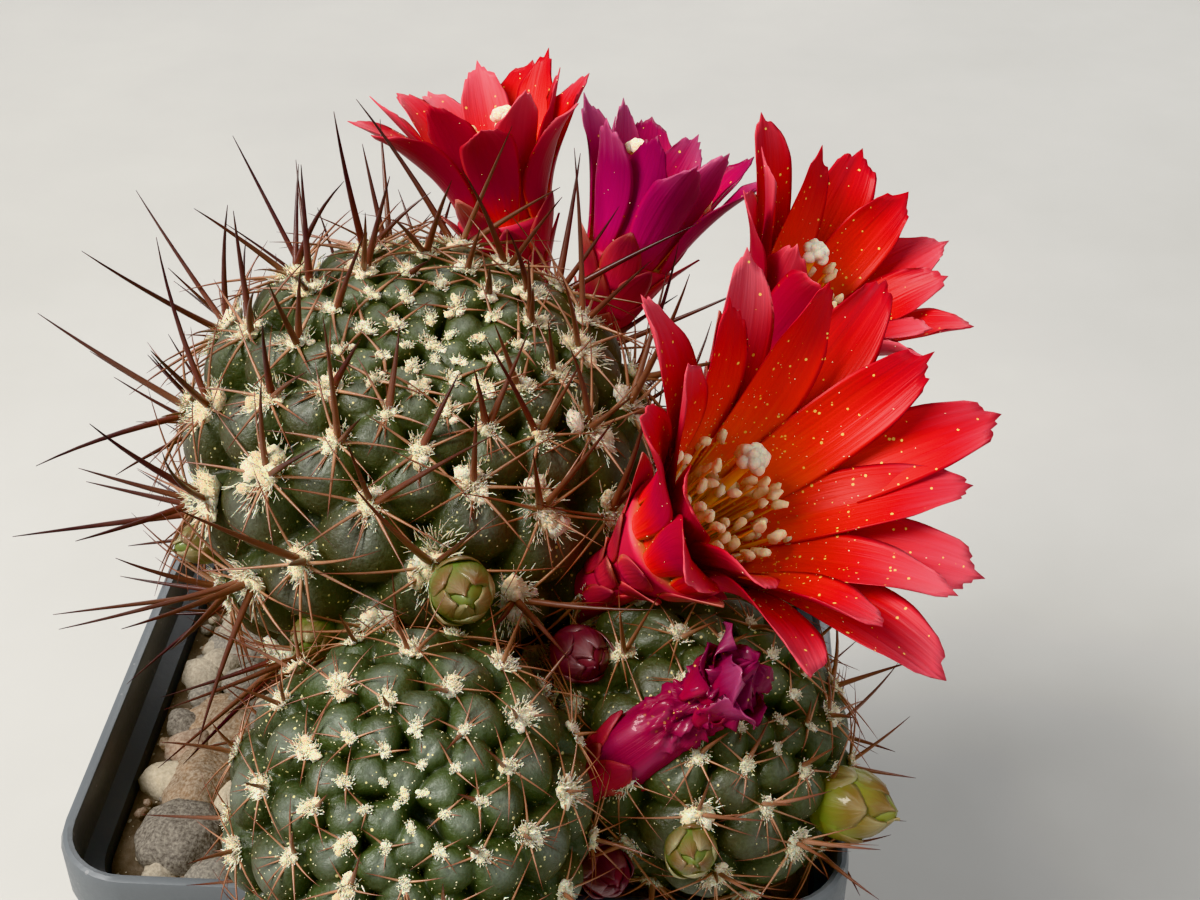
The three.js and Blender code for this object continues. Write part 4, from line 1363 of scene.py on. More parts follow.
    @staticmethod
    def scatter(aim: np.ndarray, random: SeededRandom) -> np.ndarray:
        """Turns a direction a little aside at random."""
        return aim + 0.9 * np.array([random() - 0.5, random() - 0.5, random() - 0.5])


def node_points(name: str) -> np.ndarray:
    """Reads a node's corners from the frame, in millimetres."""
    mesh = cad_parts[name].data
    corners = np.zeros(len(mesh.vertices) * 3, np.float32)
    mesh.vertices.foreach_get("co", corners)
    return corners.reshape(-1, 3) / MM


BUD_OUTLINE = ((0, 0.4, 0.62, 0.82, 1), (0.26, 0.44, 0.42, 0.3, 0.05))
BUD_SCALES = 10
SPENT_SCALES = 14
SPENT_FLAPS = 7
SPENT_ROOT = 5
SPENT_CRUMPLE = (9, 15)
SPENT_FOLDS = ((2, 2.2, 0.16), (4, -3.1, 0.2), (7, 4.4, 0.15), (11, -6.0, 0.08), (17, 9.0, 0.04))


@dataclass
class Bud:
    """A pointed bud wrapped in overlapping scales."""

    name: str
    centre: tuple[float, float, float]
    axis: tuple[float, float, float]
    width: float
    length: float
    slot: str

    def build(self, finish: bpy.types.Material) -> Form:
        """Builds and dresses the bud.

        Args:
            finish: Its material.

        Returns:
            Its form, for what has to stand clear of it.
        """
        axes = Axes.at(self.centre, self.axis)
        half = self.length / 2
        share = np.linspace(0, 1, 20)
        radius = self.width * np.interp(share, *BUD_OUTLINE)
        height = -half - 2 + share * (self.length + 2)
        values = {"along": share * 0.5, "across": share * 0, "inner": share * 0, "tone": share * 0 + 0.4}
        forms = [revolved(axes, np.stack([radius, height], -1), 28, values)]
        outline = np.stack([height, radius], -1)
        random = SeededRandom(round(self.width * 1000 + self.length * 10))
        for index in range(BUD_SCALES):
            rise = index / (BUD_SCALES - 1)
            foot = -half - 1 + rise * self.length * 0.48
            forms.append(HuggingScale(
                foot, (half - foot) * (0.6 + 0.45 * rise) + 0.2, index * GOLDEN_ANGLE,
                self.width * (0.98 - 0.12 * rise), (0.3 + 0.7 * random()) * (1 - 0.85 * rise), random(), 0.5,
            ).form(axes, outline))
        made = Form.joined(forms)
        seat(made.piece(f"scaly_{self.name}", finish), self.slot, self.name)
        return made


@dataclass
class SpentFlower:
    """A faded flower: a scaly tube below, and its petals crumpled shut above."""

    base: tuple[float, float, float] = (16, -39, 98)
    tip: tuple[float, float, float] = (33, -38.5, 115)
    width: float = 8.6
    seed: int = 151

    def build(self, finish: bpy.types.Material, scale_finish: bpy.types.Material) -> Form:
        """Builds and dresses the faded flower.

        Args:
            finish: The crumpled petals' material.
            scale_finish: The lower scales' material.

        Returns:
            Its form, for what has to stand clear of it.
        """
        reach = np.subtract(self.tip, self.base)
        length = float(np.linalg.norm(reach))
        axes = Axes.at(self.base, reach)
        sides, rows = 84, 64
        share = np.linspace(0, 1, rows)[:, None]
        angle = (np.arange(sides) * FULL_TURN / sides)[None, :]
        height = -SPENT_ROOT + share * (length + SPENT_ROOT)
        plain = self.width * np.interp(height, [-SPENT_ROOT, 1, 7, 12, 15, 19, length - 2, length],
                                       [0.28, 0.36, 0.45, 0.4, 0.34, 0.42, 0.42, 0.16])
        crumple = smoothstep(height, *SPENT_CRUMPLE)
        folds = np.zeros((rows, sides))
        random = SeededRandom(self.seed)
        for count, twist, rise in SPENT_FOLDS:
            wave = np.sin(count * angle + twist * height * 0.22 + FULL_TURN * random()
                          + 0.9 * np.sin(2 * angle + height * 0.5))
            folds += rise * (1 - 2 * np.abs(wave))
        radius = plain * (1 + folds * crumple) * (1 + 0.03 * np.sin(5 * angle) * (1 - crumple))
        slip = 0.8 * crumple * np.sin(3 * angle + height)
        local = np.stack([radius * np.cos(angle), radius * np.sin(angle), height + slip], -1)
        values = {
            "along": np.repeat(0.25 + 0.6 * share[:, 0], sides),
            "across": np.tile(np.sin(angle[0] * 3), rows),
            "inner": (0.5 + 0.5 * folds / 0.8).ravel().clip(0, 1) * np.repeat(crumple[:, 0], sides),
            "tone": np.full(rows * sides, 0.5),
        }
        petals = lofted(axes.place(local), values)
        flaps = [self.flap(index, length, random).form(axes) for index in range(SPENT_FLAPS)]
        crumpled = Form.joined([petals, *flaps])
        outline = np.stack([height[:, 0], plain[:, 0]], -1)
        scales = Form.joined([self.scale(index, random).form(axes, outline) for index in range(SPENT_SCALES)])
        made = join_pieces(crumpled.piece("bloom_spent", finish), scales.piece("spent_scales", scale_finish))
        seat(made, "petal_magenta", "flower_spent")
        return Form.joined([crumpled, scales])

    def flap(self, index: int, length: float, random: SeededRandom) -> Blade:
        """Gives one loose petal end that sticks out of the crumpled part."""
        return Blade(
            index * GOLDEN_ANGLE, 10 + 22 * random(), 5 + 3 * random(), 5 + random(), self.width * 0.28,
            length - 9 + 3 * random(), 60 * (random() - 0.6), PETAL_WIDTHS, Tip.SMOOTH,
            self.seed + index, thickness=0.4, wave=1.3, twist=1.4 * (random() - 0.5), rows=16, columns=11,
        )

    def scale(self, index: int, random: SeededRandom) -> HuggingScale:
        """Gives one scale of the lower tube."""
        rise = index / SPENT_SCALES
        return HuggingScale(-4 + 6 * rise, 4 + 3.5 * rise, index * GOLDEN_ANGLE,
                            self.width * (0.4 + 0.2 * rise), 0.3 + 0.6 * random(), random(), 0.6)


BODY_DETAIL = 7
BATCH = 6000
DUST_DENSITY = 260000.0
DUST_FLAKE = 0.000065
POLLEN_DENSITY = 900000.0
POLLEN_FLAKE = 0.00007
LEAST_PADS, MORE_PADS = 5, 5
LEAST_HAIRS, MORE_HAIRS = 92, 148
PAD_SPREAD = (2.7, 1.5)
HAIR_SPREAD = (3.3, 2.1)
STRONG_FROM = 0.22
SPINE_TILTS = (0, -8, -16, -26, -38)
STRONG_FAN, STRONG_PLAY = 62, 44
SIDE_START, SIDE_FAN = 34, 118
LOWER_PLAY = 56
LOWER_GIRTH = 0.4
BARE_BELOW = 0.04
LEAST_LEAN = 4
SPINE_ROOT = 0.5
FREE_FROM = 1.1
CLEARANCE = 0.4
BUMP_REACH = 0.585
BUMP_SHARPNESS = 0.97
BUMP_FULLNESS = 2.9
BUMP_HEIGHT = 0.58
BUMP_WIDTH = 0.95
BUMP_SPREAD = 0.85
BUMP_RANGE = (0.45, 1.28)
BUMP_LENGTH = 1.18
FURROW_START = (-0.42, -0.25)
FURROW_END = (0.0, 0.34)
FURROW_DEPTH = 0.045
FURROW_WIDTH = 0.055
CREASE_SLOPE = 4
DEEPEST_CREASE = 0.38
AREOLE_SHIFT = 0.34
HEXAGON_AREA = 0.866
CROWN_BIAS = 1.22
SOIL_TOP = 77
PROBE = 0.001
DOWNHILL_PROBE = 0.02
UPHILL_PROBE = 0.05
SUNLIT = (1.5, 2.3)


@dataclass(frozen=True)
class SpineHabit:
    """How a head bears its spines, in millimetres, and its wool, as a share."""

    upright: float
    lateral: float
    lower: float
    girth: float
    strong: float
    sides: int
    redness: float
    wool: float


@dataclass(frozen=True)
class SpineWish:
    """A spine as an areole would like it: angles in degrees, sizes in millimetres."""

    lean: float
    bearing: float
    length: float
    girth: float
    tone: float


@dataclass
class CactusHead:
    """One head: its tubercled body, and the wool, spines and dust on it."""

    name: str
    centre: tuple[float, float, float]
    axis: tuple[float, float, float]
    radius: float
    above: float
    below: float
    taper: float
    dimple: float
    crown_spacing: float
    side_spacing: float
    seed: int
    habit: SpineHabit
    dustiness: float

    def __post_init__(self) -> None:
        """Sets the axes and grows the tubercles."""
        self.axes = Axes.at(self.centre, self.axis)
        depth = (self.centre[2] - SOIL_TOP - 1) / self.axes.w[2]
        self.last_theta = math.acos(-min(depth / self.below, 0.9))
        self.thetas, self.spacings = self.grow_tubercles()
        self.phis = np.arange(len(self.thetas)) * GOLDEN_ANGLE
        self.tops = self.envelope(self.thetas, self.phis)[0]

    def profile(self, theta: np.ndarray) -> tuple[np.ndarray, np.ndarray]:
        """Gives the radius and height of the smooth outline.

        Args:
            theta: Angles from the crown.

        Returns:
            Radii and heights.
        """
        sin, cos = np.sin(theta), np.cos(theta)
        sunk = self.dimple * np.exp(-((theta / 0.26) ** 2))
        upper = cos >= 0
        radius = np.where(upper, self.radius * sin, self.radius * sin * (1 + self.taper * cos))
        return radius, np.where(upper, self.above * cos - sunk, self.below * cos)

    def envelope(self, theta: np.ndarray, phi: np.ndarray) -> tuple[np.ndarray, np.ndarray]:
        """Gives points and outward directions of the smooth outline, in the head's axes.

        Args:
            theta: Angles from the crown.
            phi: Angles round the axis.

        Returns:
            Points and directions.
        """
        radius, height = self.profile(theta)
        far_radius, far_height = self.profile(theta + PROBE)
        near_radius, near_height = self.profile(np.maximum(theta - PROBE, 0))
        slope = np.stack([near_height - far_height, far_radius - near_radius], -1)
        slope /= np.linalg.norm(slope, axis=-1, keepdims=True)
        cos, sin = np.cos(phi), np.sin(phi)
        points = np.stack([radius * cos, radius * sin, height], -1)
        return points, np.stack([slope[..., 0] * cos, slope[..., 0] * sin, slope[..., 1]], -1)

    def spacing_at(self, theta: np.ndarray | float) -> np.ndarray | float:
        """Gives the distance between tubercles at an angle from the crown."""
        blend = smoothstep(theta, 0.1, 1.25)
        return self.crown_spacing + (self.side_spacing - self.crown_spacing) * blend

    def grow_tubercles(self) -> tuple[np.ndarray, np.ndarray]:
        """Sets the tubercles by the golden angle, as many as each height has room for.

        Returns:
            Their angles from the crown and their spacings.
        """
        step = 0.002
        thetas = np.arange(step, self.last_theta, step)
        radius, height = self.profile(thetas)
        last_radius, last_height = self.profile(thetas - step)
        width = np.hypot(radius - last_radius, height - last_height)
        filled = np.cumsum(FULL_TURN * radius * width / (HEXAGON_AREA * self.spacing_at(thetas) ** 2))
        places = np.searchsorted(filled, np.arange(math.floor(filled[-1] + 0.5)) + 0.5)
        kept = thetas[places[places < len(thetas)]]
        return kept, self.spacing_at(kept)

    def relief(self, points: np.ndarray) -> tuple[np.ndarray, np.ndarray, np.ndarray]:
        """Gives how far the skin lies below the outline: bumps drawn to a point uphill.

        Args:
            points: Points of the outline in the head's axes.

        Returns:
            The relief, how near each point is to a crease, and its tubercle.
        """
        downhill = self.downhill()
        reliefs, creases, owners = [], [], []
        for part in np.array_split(points, max(len(points) // BATCH, 1)):
            offset = part[:, None] - self.tops[None]
            along = (offset * downhill).sum(-1)
            across = np.sqrt(np.maximum((offset ** 2).sum(-1) - along ** 2, 0))
            width = BUMP_WIDTH * np.clip(1 + BUMP_SPREAD * along / self.spacings, *BUMP_RANGE)
            reach = np.hypot(along / BUMP_LENGTH, across / width) / (BUMP_REACH * self.spacings)
            dome = np.sqrt(1 - BUMP_SHARPNESS * np.minimum(reach, 1) ** BUMP_FULLNESS) - 1
            bumps = BUMP_HEIGHT * self.spacings * (dome - CREASE_SLOPE * np.maximum(reach - 1, 0))
            owner = bumps.argmax(1)
            own = np.arange(len(part))
            reliefs.append(bumps[own, owner])
            creases.append(reach[own, owner])
            owners.append(owner)
        return np.concatenate(reliefs), np.concatenate(creases), np.concatenate(owners)

    def downhill(self) -> np.ndarray:
        """Gives the direction away from the crown at each tubercle."""
        way = self.envelope(self.thetas + DOWNHILL_PROBE, self.phis)[0] - self.tops
        return way / np.linalg.norm(way, axis=1, keepdims=True)

    def skin(self, theta: np.ndarray, phi: np.ndarray) -> tuple[np.ndarray, ...]:
        """Gives points of the real skin, in the head's axes.

        Args:
            theta: Angles from the crown.
            phi: Angles round the axis.

        Returns:
            Points, outward directions, nearness to a crease, and tubercles.
        """
        points, normals = self.envelope(theta, phi)
        depth, crease, owner = self.relief(points)
        fade = smoothstep(theta, self.last_theta + 0.05, self.last_theta + 0.2)
        depth = np.maximum(depth, -DEEPEST_CREASE * self.side_spacing)
        depth = (depth - self.furrow(points, owner)) * (1 - fade)
        return points + normals * depth[:, None], normals, crease, owner

    def furrow(self, points: np.ndarray, owner: np.ndarray) -> np.ndarray:
        """Gives the depth of the groove that runs down each tubercle from its areole.

        Args:
            points: Points of the outline in the head's axes.
            owner: Each point's tubercle.

        Returns:
            The depth in millimetres.
        """
        downhill = self.downhill()
        sideways = np.stack([-np.sin(self.phis), np.cos(self.phis), 0 * self.phis], -1)
        offset = points - self.tops[owner]
        size = self.spacings[owner]
        along = (offset * downhill[owner]).sum(1) / size
        across = (offset * sideways[owner]).sum(1) / size
        window = smoothstep(along, *FURROW_START) * (1 - smoothstep(along, *FURROW_END))
        return FURROW_DEPTH * size * window * np.exp(-((across / FURROW_WIDTH) ** 2))

    def body_form(self) -> Form:
        """Builds the fine body with age, crease, tone and dusting."""
        ball = bmesh.new()
        bmesh.ops.create_icosphere(ball, subdivisions=BODY_DETAIL, radius=1)
        directions = np.array([vertex.co for vertex in ball.verts])
        directions /= np.linalg.norm(directions, axis=1, keepdims=True)
        faces = [tuple(vertex.index for vertex in face.verts) for face in ball.faces]
        ball.free()
        theta = math.pi * (np.arccos(np.clip(directions[:, 2], -1, 1)) / math.pi) ** CROWN_BIAS
        phi = np.arctan2(directions[:, 1], directions[:, 0])
        points, _, crease, owner = self.skin(theta, phi)
        lower = ((points - self.tops[owner]) * self.downhill()[owner]).sum(1) / self.spacings[owner]
        tones = np.array([SeededRandom(self.seed * 1000 + index)() for index in range(len(self.thetas))])
        grown = 0.62 * smoothstep(theta, 0.1, 1.7)
        sunlit = 1 - smoothstep(theta, *SUNLIT)
        return Form(self.axes.place(points), faces, {
            "age": np.clip(grown + 0.4 * (tones[owner] - 0.5) + 0.5 * lower, 0, 1),
            "crease": crease, "tone": tones[owner],
            "dusting": sunlit * (0.35 + 0.65 * smoothstep(crease, 0.2, 0.9)),
        })

    def areoles(self) -> tuple[np.ndarray, np.ndarray, np.ndarray, np.ndarray]:
        """Gives each areole's point, outward direction, uphill direction and vigour."""
        bend = np.where(self.thetas < math.pi / 2, self.radius, self.below)
        theta = np.maximum(self.thetas - AREOLE_SHIFT * self.spacings / bend, 0.01)
        points, normals, _, _ = self.skin(theta, self.phis)
        uphill = self.skin(np.maximum(theta - UPHILL_PROBE, 0), self.phis)[0] - points
        uphill -= normals * (uphill * normals).sum(1, keepdims=True)
        uphill /= np.linalg.norm(uphill, axis=1, keepdims=True)
        vigour = (self.spacings - self.crown_spacing) / (self.side_spacing - self.crown_spacing)
        return self.axes.place(points), self.axes.turn(normals), self.axes.turn(uphill), vigour

    def build(self, finish: bpy.types.Material, nursery: Nursery, obstacles: list[BVHTree]) -> Form:
        """Builds and dresses the head.

        Args:
            finish: The skin's material.
            nursery: The shared growth trees.
            obstacles: What its spines have to stand clear of.

        Returns:
            The body's form.
        """
        body = self.body_form()
        seat(body.piece(f"cactus_{self.name}", finish), "cactus_skin", f"head_{self.name}")
        areoles = list(zip(*self.areoles()))
        self.build_wool(areoles, nursery)
        self.build_spines(areoles, nursery, [body.tree(), *obstacles])
        dusted = Form(body.points, body.faces, {"dusting": body.values["dusting"]})
        dust = nursery.dust.grow(dusted, f"dust_{self.name}", {
            "Material": nursery.pollen, "Density": DUST_DENSITY * self.dustiness,
            "Flake": DUST_FLAKE, "Seed": self.seed,
        })
        seat(dust, "stamen_yellow")
        return body

    def build_wool(self, areoles: list[tuple], nursery: Nursery) -> None:
        """Felts each areole with uneven pads and short curled hairs."""
        random = SeededRandom(self.seed + 300)
        pads, hairs = Grains(), Strands()
        for point, outward, uphill, vigour in areoles:
            if self.buried(point):
                continue
            side = np.cross(outward, uphill)
            fullness = self.habit.wool * self.side_spacing / 12
            size = (0.35 + 0.65 * vigour) * (0.75 + 0.5 * random()) * fullness
            for _ in range(round(LEAST_PADS + MORE_PADS * vigour)):
                along, across = (share * size * (random() + random() - 1) for share in PAD_SPREAD)
                middle = point + uphill * (along + 0.4 * size) + side * across + outward * 0.1
                wide = size * (0.75 + 0.6 * random())
                shape = (wide * 0.72, wide * 1.0, wide * 0.52)
                pads.add(middle, outward, shape, FULL_TURN * random(), random())
            for _ in range(int(LEAST_HAIRS + MORE_HAIRS * vigour)):
                along, across = (share * size * (random() + random() - 1) for share in HAIR_SPREAD)
                foot = point + uphill * (along + 0.4 * size) + side * across + outward * 0.2 * size
                aim = outward * (0.5 + 0.8 * random()) + uphill * along * 0.35 + side * across * 0.5
                aim = aim + side * (random() - 0.5) + uphill * (random() - 0.5)
                aim /= np.linalg.norm(aim)
                reach = size * (0.65 + 0.75 * random() ** 2)
                sway = side * (random() - 0.5) + uphill * (random() - 0.5) - outward * 0.5 * random()
                bend = reach * 0.6 * sway
                hairs.add(foot, aim, reach, 0.07 + 0.05 * random(), bend, 0.4 + 0.6 * random())
        felt = nursery.grains.grow(pads.form(), f"wool_{self.name}", {
            "Material": nursery.wool, "Detail": 2, "Unevenness": 1.0, "Noise Scale": 3000.0,
        })
        fuzz = nursery.strands.grow(hairs.form(), "fuzz", {
            "Material": nursery.wool, "Sides": 3, "Rows": 2, "Taper": 0.6,
        })
        fuzz.name = fuzz.data.name = f"fuzz_{self.name}"
        seat(felt, "cactus_skin")
        seat(fuzz, "cactus_skin")

    @staticmethod
    def buried(point: np.ndarray) -> bool:
        """Tells whether a point lies in the gravel."""
        return point[2] < SOIL_TOP + 1

    def build_spines(self, areoles: list[tuple], nursery: Nursery, obstacles: list[BVHTree]) -> None:
        """Bears the spines, each bent clear of the skin and the blooms."""
        random = SeededRandom(self.seed + 500)
        spines = Strands()
        for point, outward, uphill, vigour in areoles:
            if self.buried(point) or vigour < BARE_BELOW:
                continue
            for wish in self.wishes(vigour, random):
                self.place_spine(point, outward, uphill, wish, random, spines, obstacles)
        made = nursery.strands.grow(spines.form(), f"spines_{self.name}", {
            "Material": nursery.spine, "Sides": 6, "Rows": 8, "Taper": 0.97,
        })
        seat(made, "cactus_skin")

    def wishes(self, vigour: float, random: SeededRandom) -> list[SpineWish]:
        """Lists the spines that an areole would like.

        Args:
            vigour: From 0 at the crown to 1 on the side.
            random: The head's random source.

        Returns:
            The strong upper ones, those to the sides, and the fine lower ones.
        """
        habit = self.habit
        size = 0.3 + 0.7 * vigour
        wishes = []
        strong = int(habit.strong * (0.2 + 0.8 * vigour) + random()) if vigour > STRONG_FROM else 0
        for index in range(strong):
            bearing = (index - (strong - 1) / 2) * STRONG_FAN + STRONG_PLAY * (random() - 0.5)
            wishes.append(SpineWish(
                18 + 38 * random(), bearing, habit.upright * size * (0.65 + 0.6 * random()),
                habit.girth * (0.85 + 0.25 * random()), habit.redness * (0.65 + 0.35 * random())))
        sides = round(habit.sides * (0.2 + 0.8 * vigour))
        for index in range(sides):
            swing = SIDE_START + SIDE_FAN * (index // 2 + 0.25 + 0.5 * random()) / max(sides / 2, 1)
            wishes.append(SpineWish(
                60 + 24 * random(), swing if index % 2 else -swing,
                habit.lateral * size * (0.7 + 0.5 * random()),
                habit.girth * (0.42 + 0.14 * random()), habit.redness * 0.35 * random()))
        for _ in range(3 if vigour > 0.3 else 1):
            wishes.append(SpineWish(
                66 + 18 * random(), 180 + LOWER_PLAY * (random() - 0.5),
                habit.lower * size * (0.7 + 0.6 * random()), habit.girth * LOWER_GIRTH, 0.1 * random()))
        return wishes

    @staticmethod
    def place_spine(point: np.ndarray, outward: np.ndarray, uphill: np.ndarray, wish: SpineWish,
                    random: SeededRandom, spines: Strands, obstacles: list[BVHTree]) -> None:
        """Places one spine at the first lean that clears the obstacles, or leaves it out.

        Args:
            point: The areole.
            outward: The skin's outward direction there.
            uphill: The direction towards the crown.
            wish: The spine.
            random: The head's random source.
            spines: The list that takes the spine.
            obstacles: Search trees of what it has to clear.
        """
        length = wish.length
        side = np.cross(outward, uphill)
        angle = math.radians(wish.bearing)
        level = uphill * math.cos(angle) + side * math.sin(angle)
        bend_share, sideways = 0.08 + 0.18 * random(), 0.2 * (random() - 0.5)
        foot = point + level * 0.5 + uphill * 0.3
        for tilt in SPINE_TILTS:
            tipped = math.radians(max(wish.lean + tilt, LEAST_LEAN))
            aim = outward * math.cos(tipped) + level * math.sin(tipped)
            bend = length * (-outward * bend_share * math.sin(tipped) + np.cross(aim, outward) * sideways)
            start = foot + aim * FREE_FROM
            way = foot + aim * length + bend - start
            reach = float(np.linalg.norm(way))
            ray = (Vector(start), Vector(way / reach), reach + CLEARANCE)
            if not any(tree.ray_cast(*ray)[0] for tree in obstacles):
                root = foot - aim * SPINE_ROOT
                spines.add(root, aim, length + SPINE_ROOT, wish.girth, bend, wish.tone)
                return


HOLE_BELOW = -2
HOLE_DEPTH = 7.0
HOLE_SIDES = 32
SHARP_ANGLE = 40


@dataclass
class Pot:
    """A thin square nursery pot with a banded rim and four drain holes."""

    height: float = 85
    rim: float = 90
    shoulder: float = 86.4
    base: float = 66
    wall: float = 1.6
    floor: float = 2
    corner: float = 9
    band: float = 7
    hole: float = 8
    hole_offset: float = 20
    corner_steps: int = 9
    edge_steps: int = 8

    def ring(self, width: float, height: float, radius: float) -> np.ndarray:
        """Gives a level square ring with rounded corners.

        Args:
            width: Its width.
            height: Its height.
            radius: Its corners' radius.

        Returns:
            Its points in order.
        """
        reach = math.sqrt(2) * (width / 2 - radius)

        def spot(turn: float, angle: float) -> np.ndarray:
            """Gives a point of the corner that lies at a turn, at an angle round it."""
            middle = np.array([math.cos(turn + math.pi / 4), math.sin(turn + math.pi / 4)])
            return reach * middle + radius * np.array([math.cos(angle), math.sin(angle)])

        points = []
        for corner in range(4):
            turn = math.pi / 2 * corner
            for step in range(self.corner_steps):
                points.append(spot(turn, turn + math.pi / 2 * step / (self.corner_steps - 1)))
            end = points[-1]
            after = turn + math.pi / 2
            start = spot(after, after)
            for step in range(1, self.edge_steps):
                points.append(end + (start - end) * step / self.edge_steps)
        return np.column_stack([points, np.full(len(points), height)])

    def width_at(self, height: float) -> float:
        """Gives the outer width of the tapering wall at a height."""
        return self.base + (self.shoulder - self.base) * height / (self.height - self.band)

    def section(self) -> list[tuple[float, float, float]]:
        """Gives the wall as widths, heights and corner radii, up the outside and down the inside."""
        shoulder = self.height - self.band
        outside = [(self.base - 3, 0.0, self.corner - 3.5), (self.base - 0.8, 0.35, self.corner - 2.4),
                   (self.base + 0.2, 1.2, self.corner - 2)]
        for share in np.linspace(0.05, 0.985, 12):
            height = share * shoulder
            outside.append((self.width_at(height), height, self.corner - 2 + 2 * share))
        outside += [
            (self.shoulder, shoulder - 0.5, self.corner), (self.shoulder + 0.7, shoulder - 0.1, self.corner),
            (self.rim - 0.8, shoulder + 0.1, self.corner), (self.rim, shoulder + 0.6, self.corner),
            (self.rim, self.height - 0.9, self.corner), (self.rim - 0.5, self.height - 0.2, self.corner),
            (self.rim - self.wall, self.height, self.corner - 0.7),
        ]
        inset = 2 * self.wall
        inside = [(self.rim - inset + 0.5, self.height - 0.2, self.corner - 1.3),
                  (self.rim - inset, self.height - 0.8, self.corner - 1.5),
                  (self.rim - inset, shoulder + 1.4, self.corner - 1.5),
                  (self.shoulder - inset, shoulder, self.corner - 1.5)]
        for share in np.linspace(0.95, 0.06, 6):
            height = share * shoulder
            inside.append((self.width_at(height) - inset, height, self.corner - 3.5 + 2 * share))
        inside.append((self.width_at(self.floor) - inset, self.floor, self.corner - 3.5))
        return outside + inside

    def build(self, finish: bpy.types.Material) -> None:
        """Builds and dresses the pot, with its drain holes cut."""
        rings = np.array([self.ring(*row) for row in self.section()])
        made = lofted(rings, {}).piece("square_pot", finish)
        reach = self.hole_offset
        for number, (x, y) in enumerate(((reach, reach), (-reach, reach), (-reach, -reach), (reach, -reach))):
            axes = Axes.at((x, y, HOLE_BELOW), UP)
            profile = np.array([[self.hole / 2, 0.0], [self.hole / 2, HOLE_DEPTH]])
            cutter = revolved(axes, profile, HOLE_SIDES).piece(f"hole_{number}")
            modifier = made.modifiers.new("hole", "BOOLEAN")
            modifier.operation = "DIFFERENCE"
            modifier.solver = "EXACT"
            modifier.object = cutter
            mesh = bpy.data.meshes.new_from_object(made.evaluated_get(bpy.context.evaluated_depsgraph_get()))
            made.modifiers.remove(modifier)
            made.data = mesh
            bpy.data.objects.remove(cutter)
        made.data.set_sharp_from_angle(angle=math.radians(SHARP_ANGLE))
        seat(made, "pot_plastic", "pot")


LARGE_STONE_SHARE = 0.82
GRIT_SHAPE = ((0.9, 0.4), (0.7, 0.3), (0.55, 0.3))
SPREAD_STEPS = (0.7548776662, 0.5698402910)
MIDDLING_STONES = (300, 2.6, 0.9, 9)
GRIT_STONES = (1500, 0.95, 0.9, 17)
STONE_CORNER = (30, 9.5)
GRIT_CORNER = (31, 8.5)


def inside_corner(x: float, y: float, start: float, reach: float) -> bool:
    """Tells whether a place lies within the bed's rounded corners."""
    return math.hypot(max(abs(x) - start, 0), max(abs(y) - start, 0)) < reach


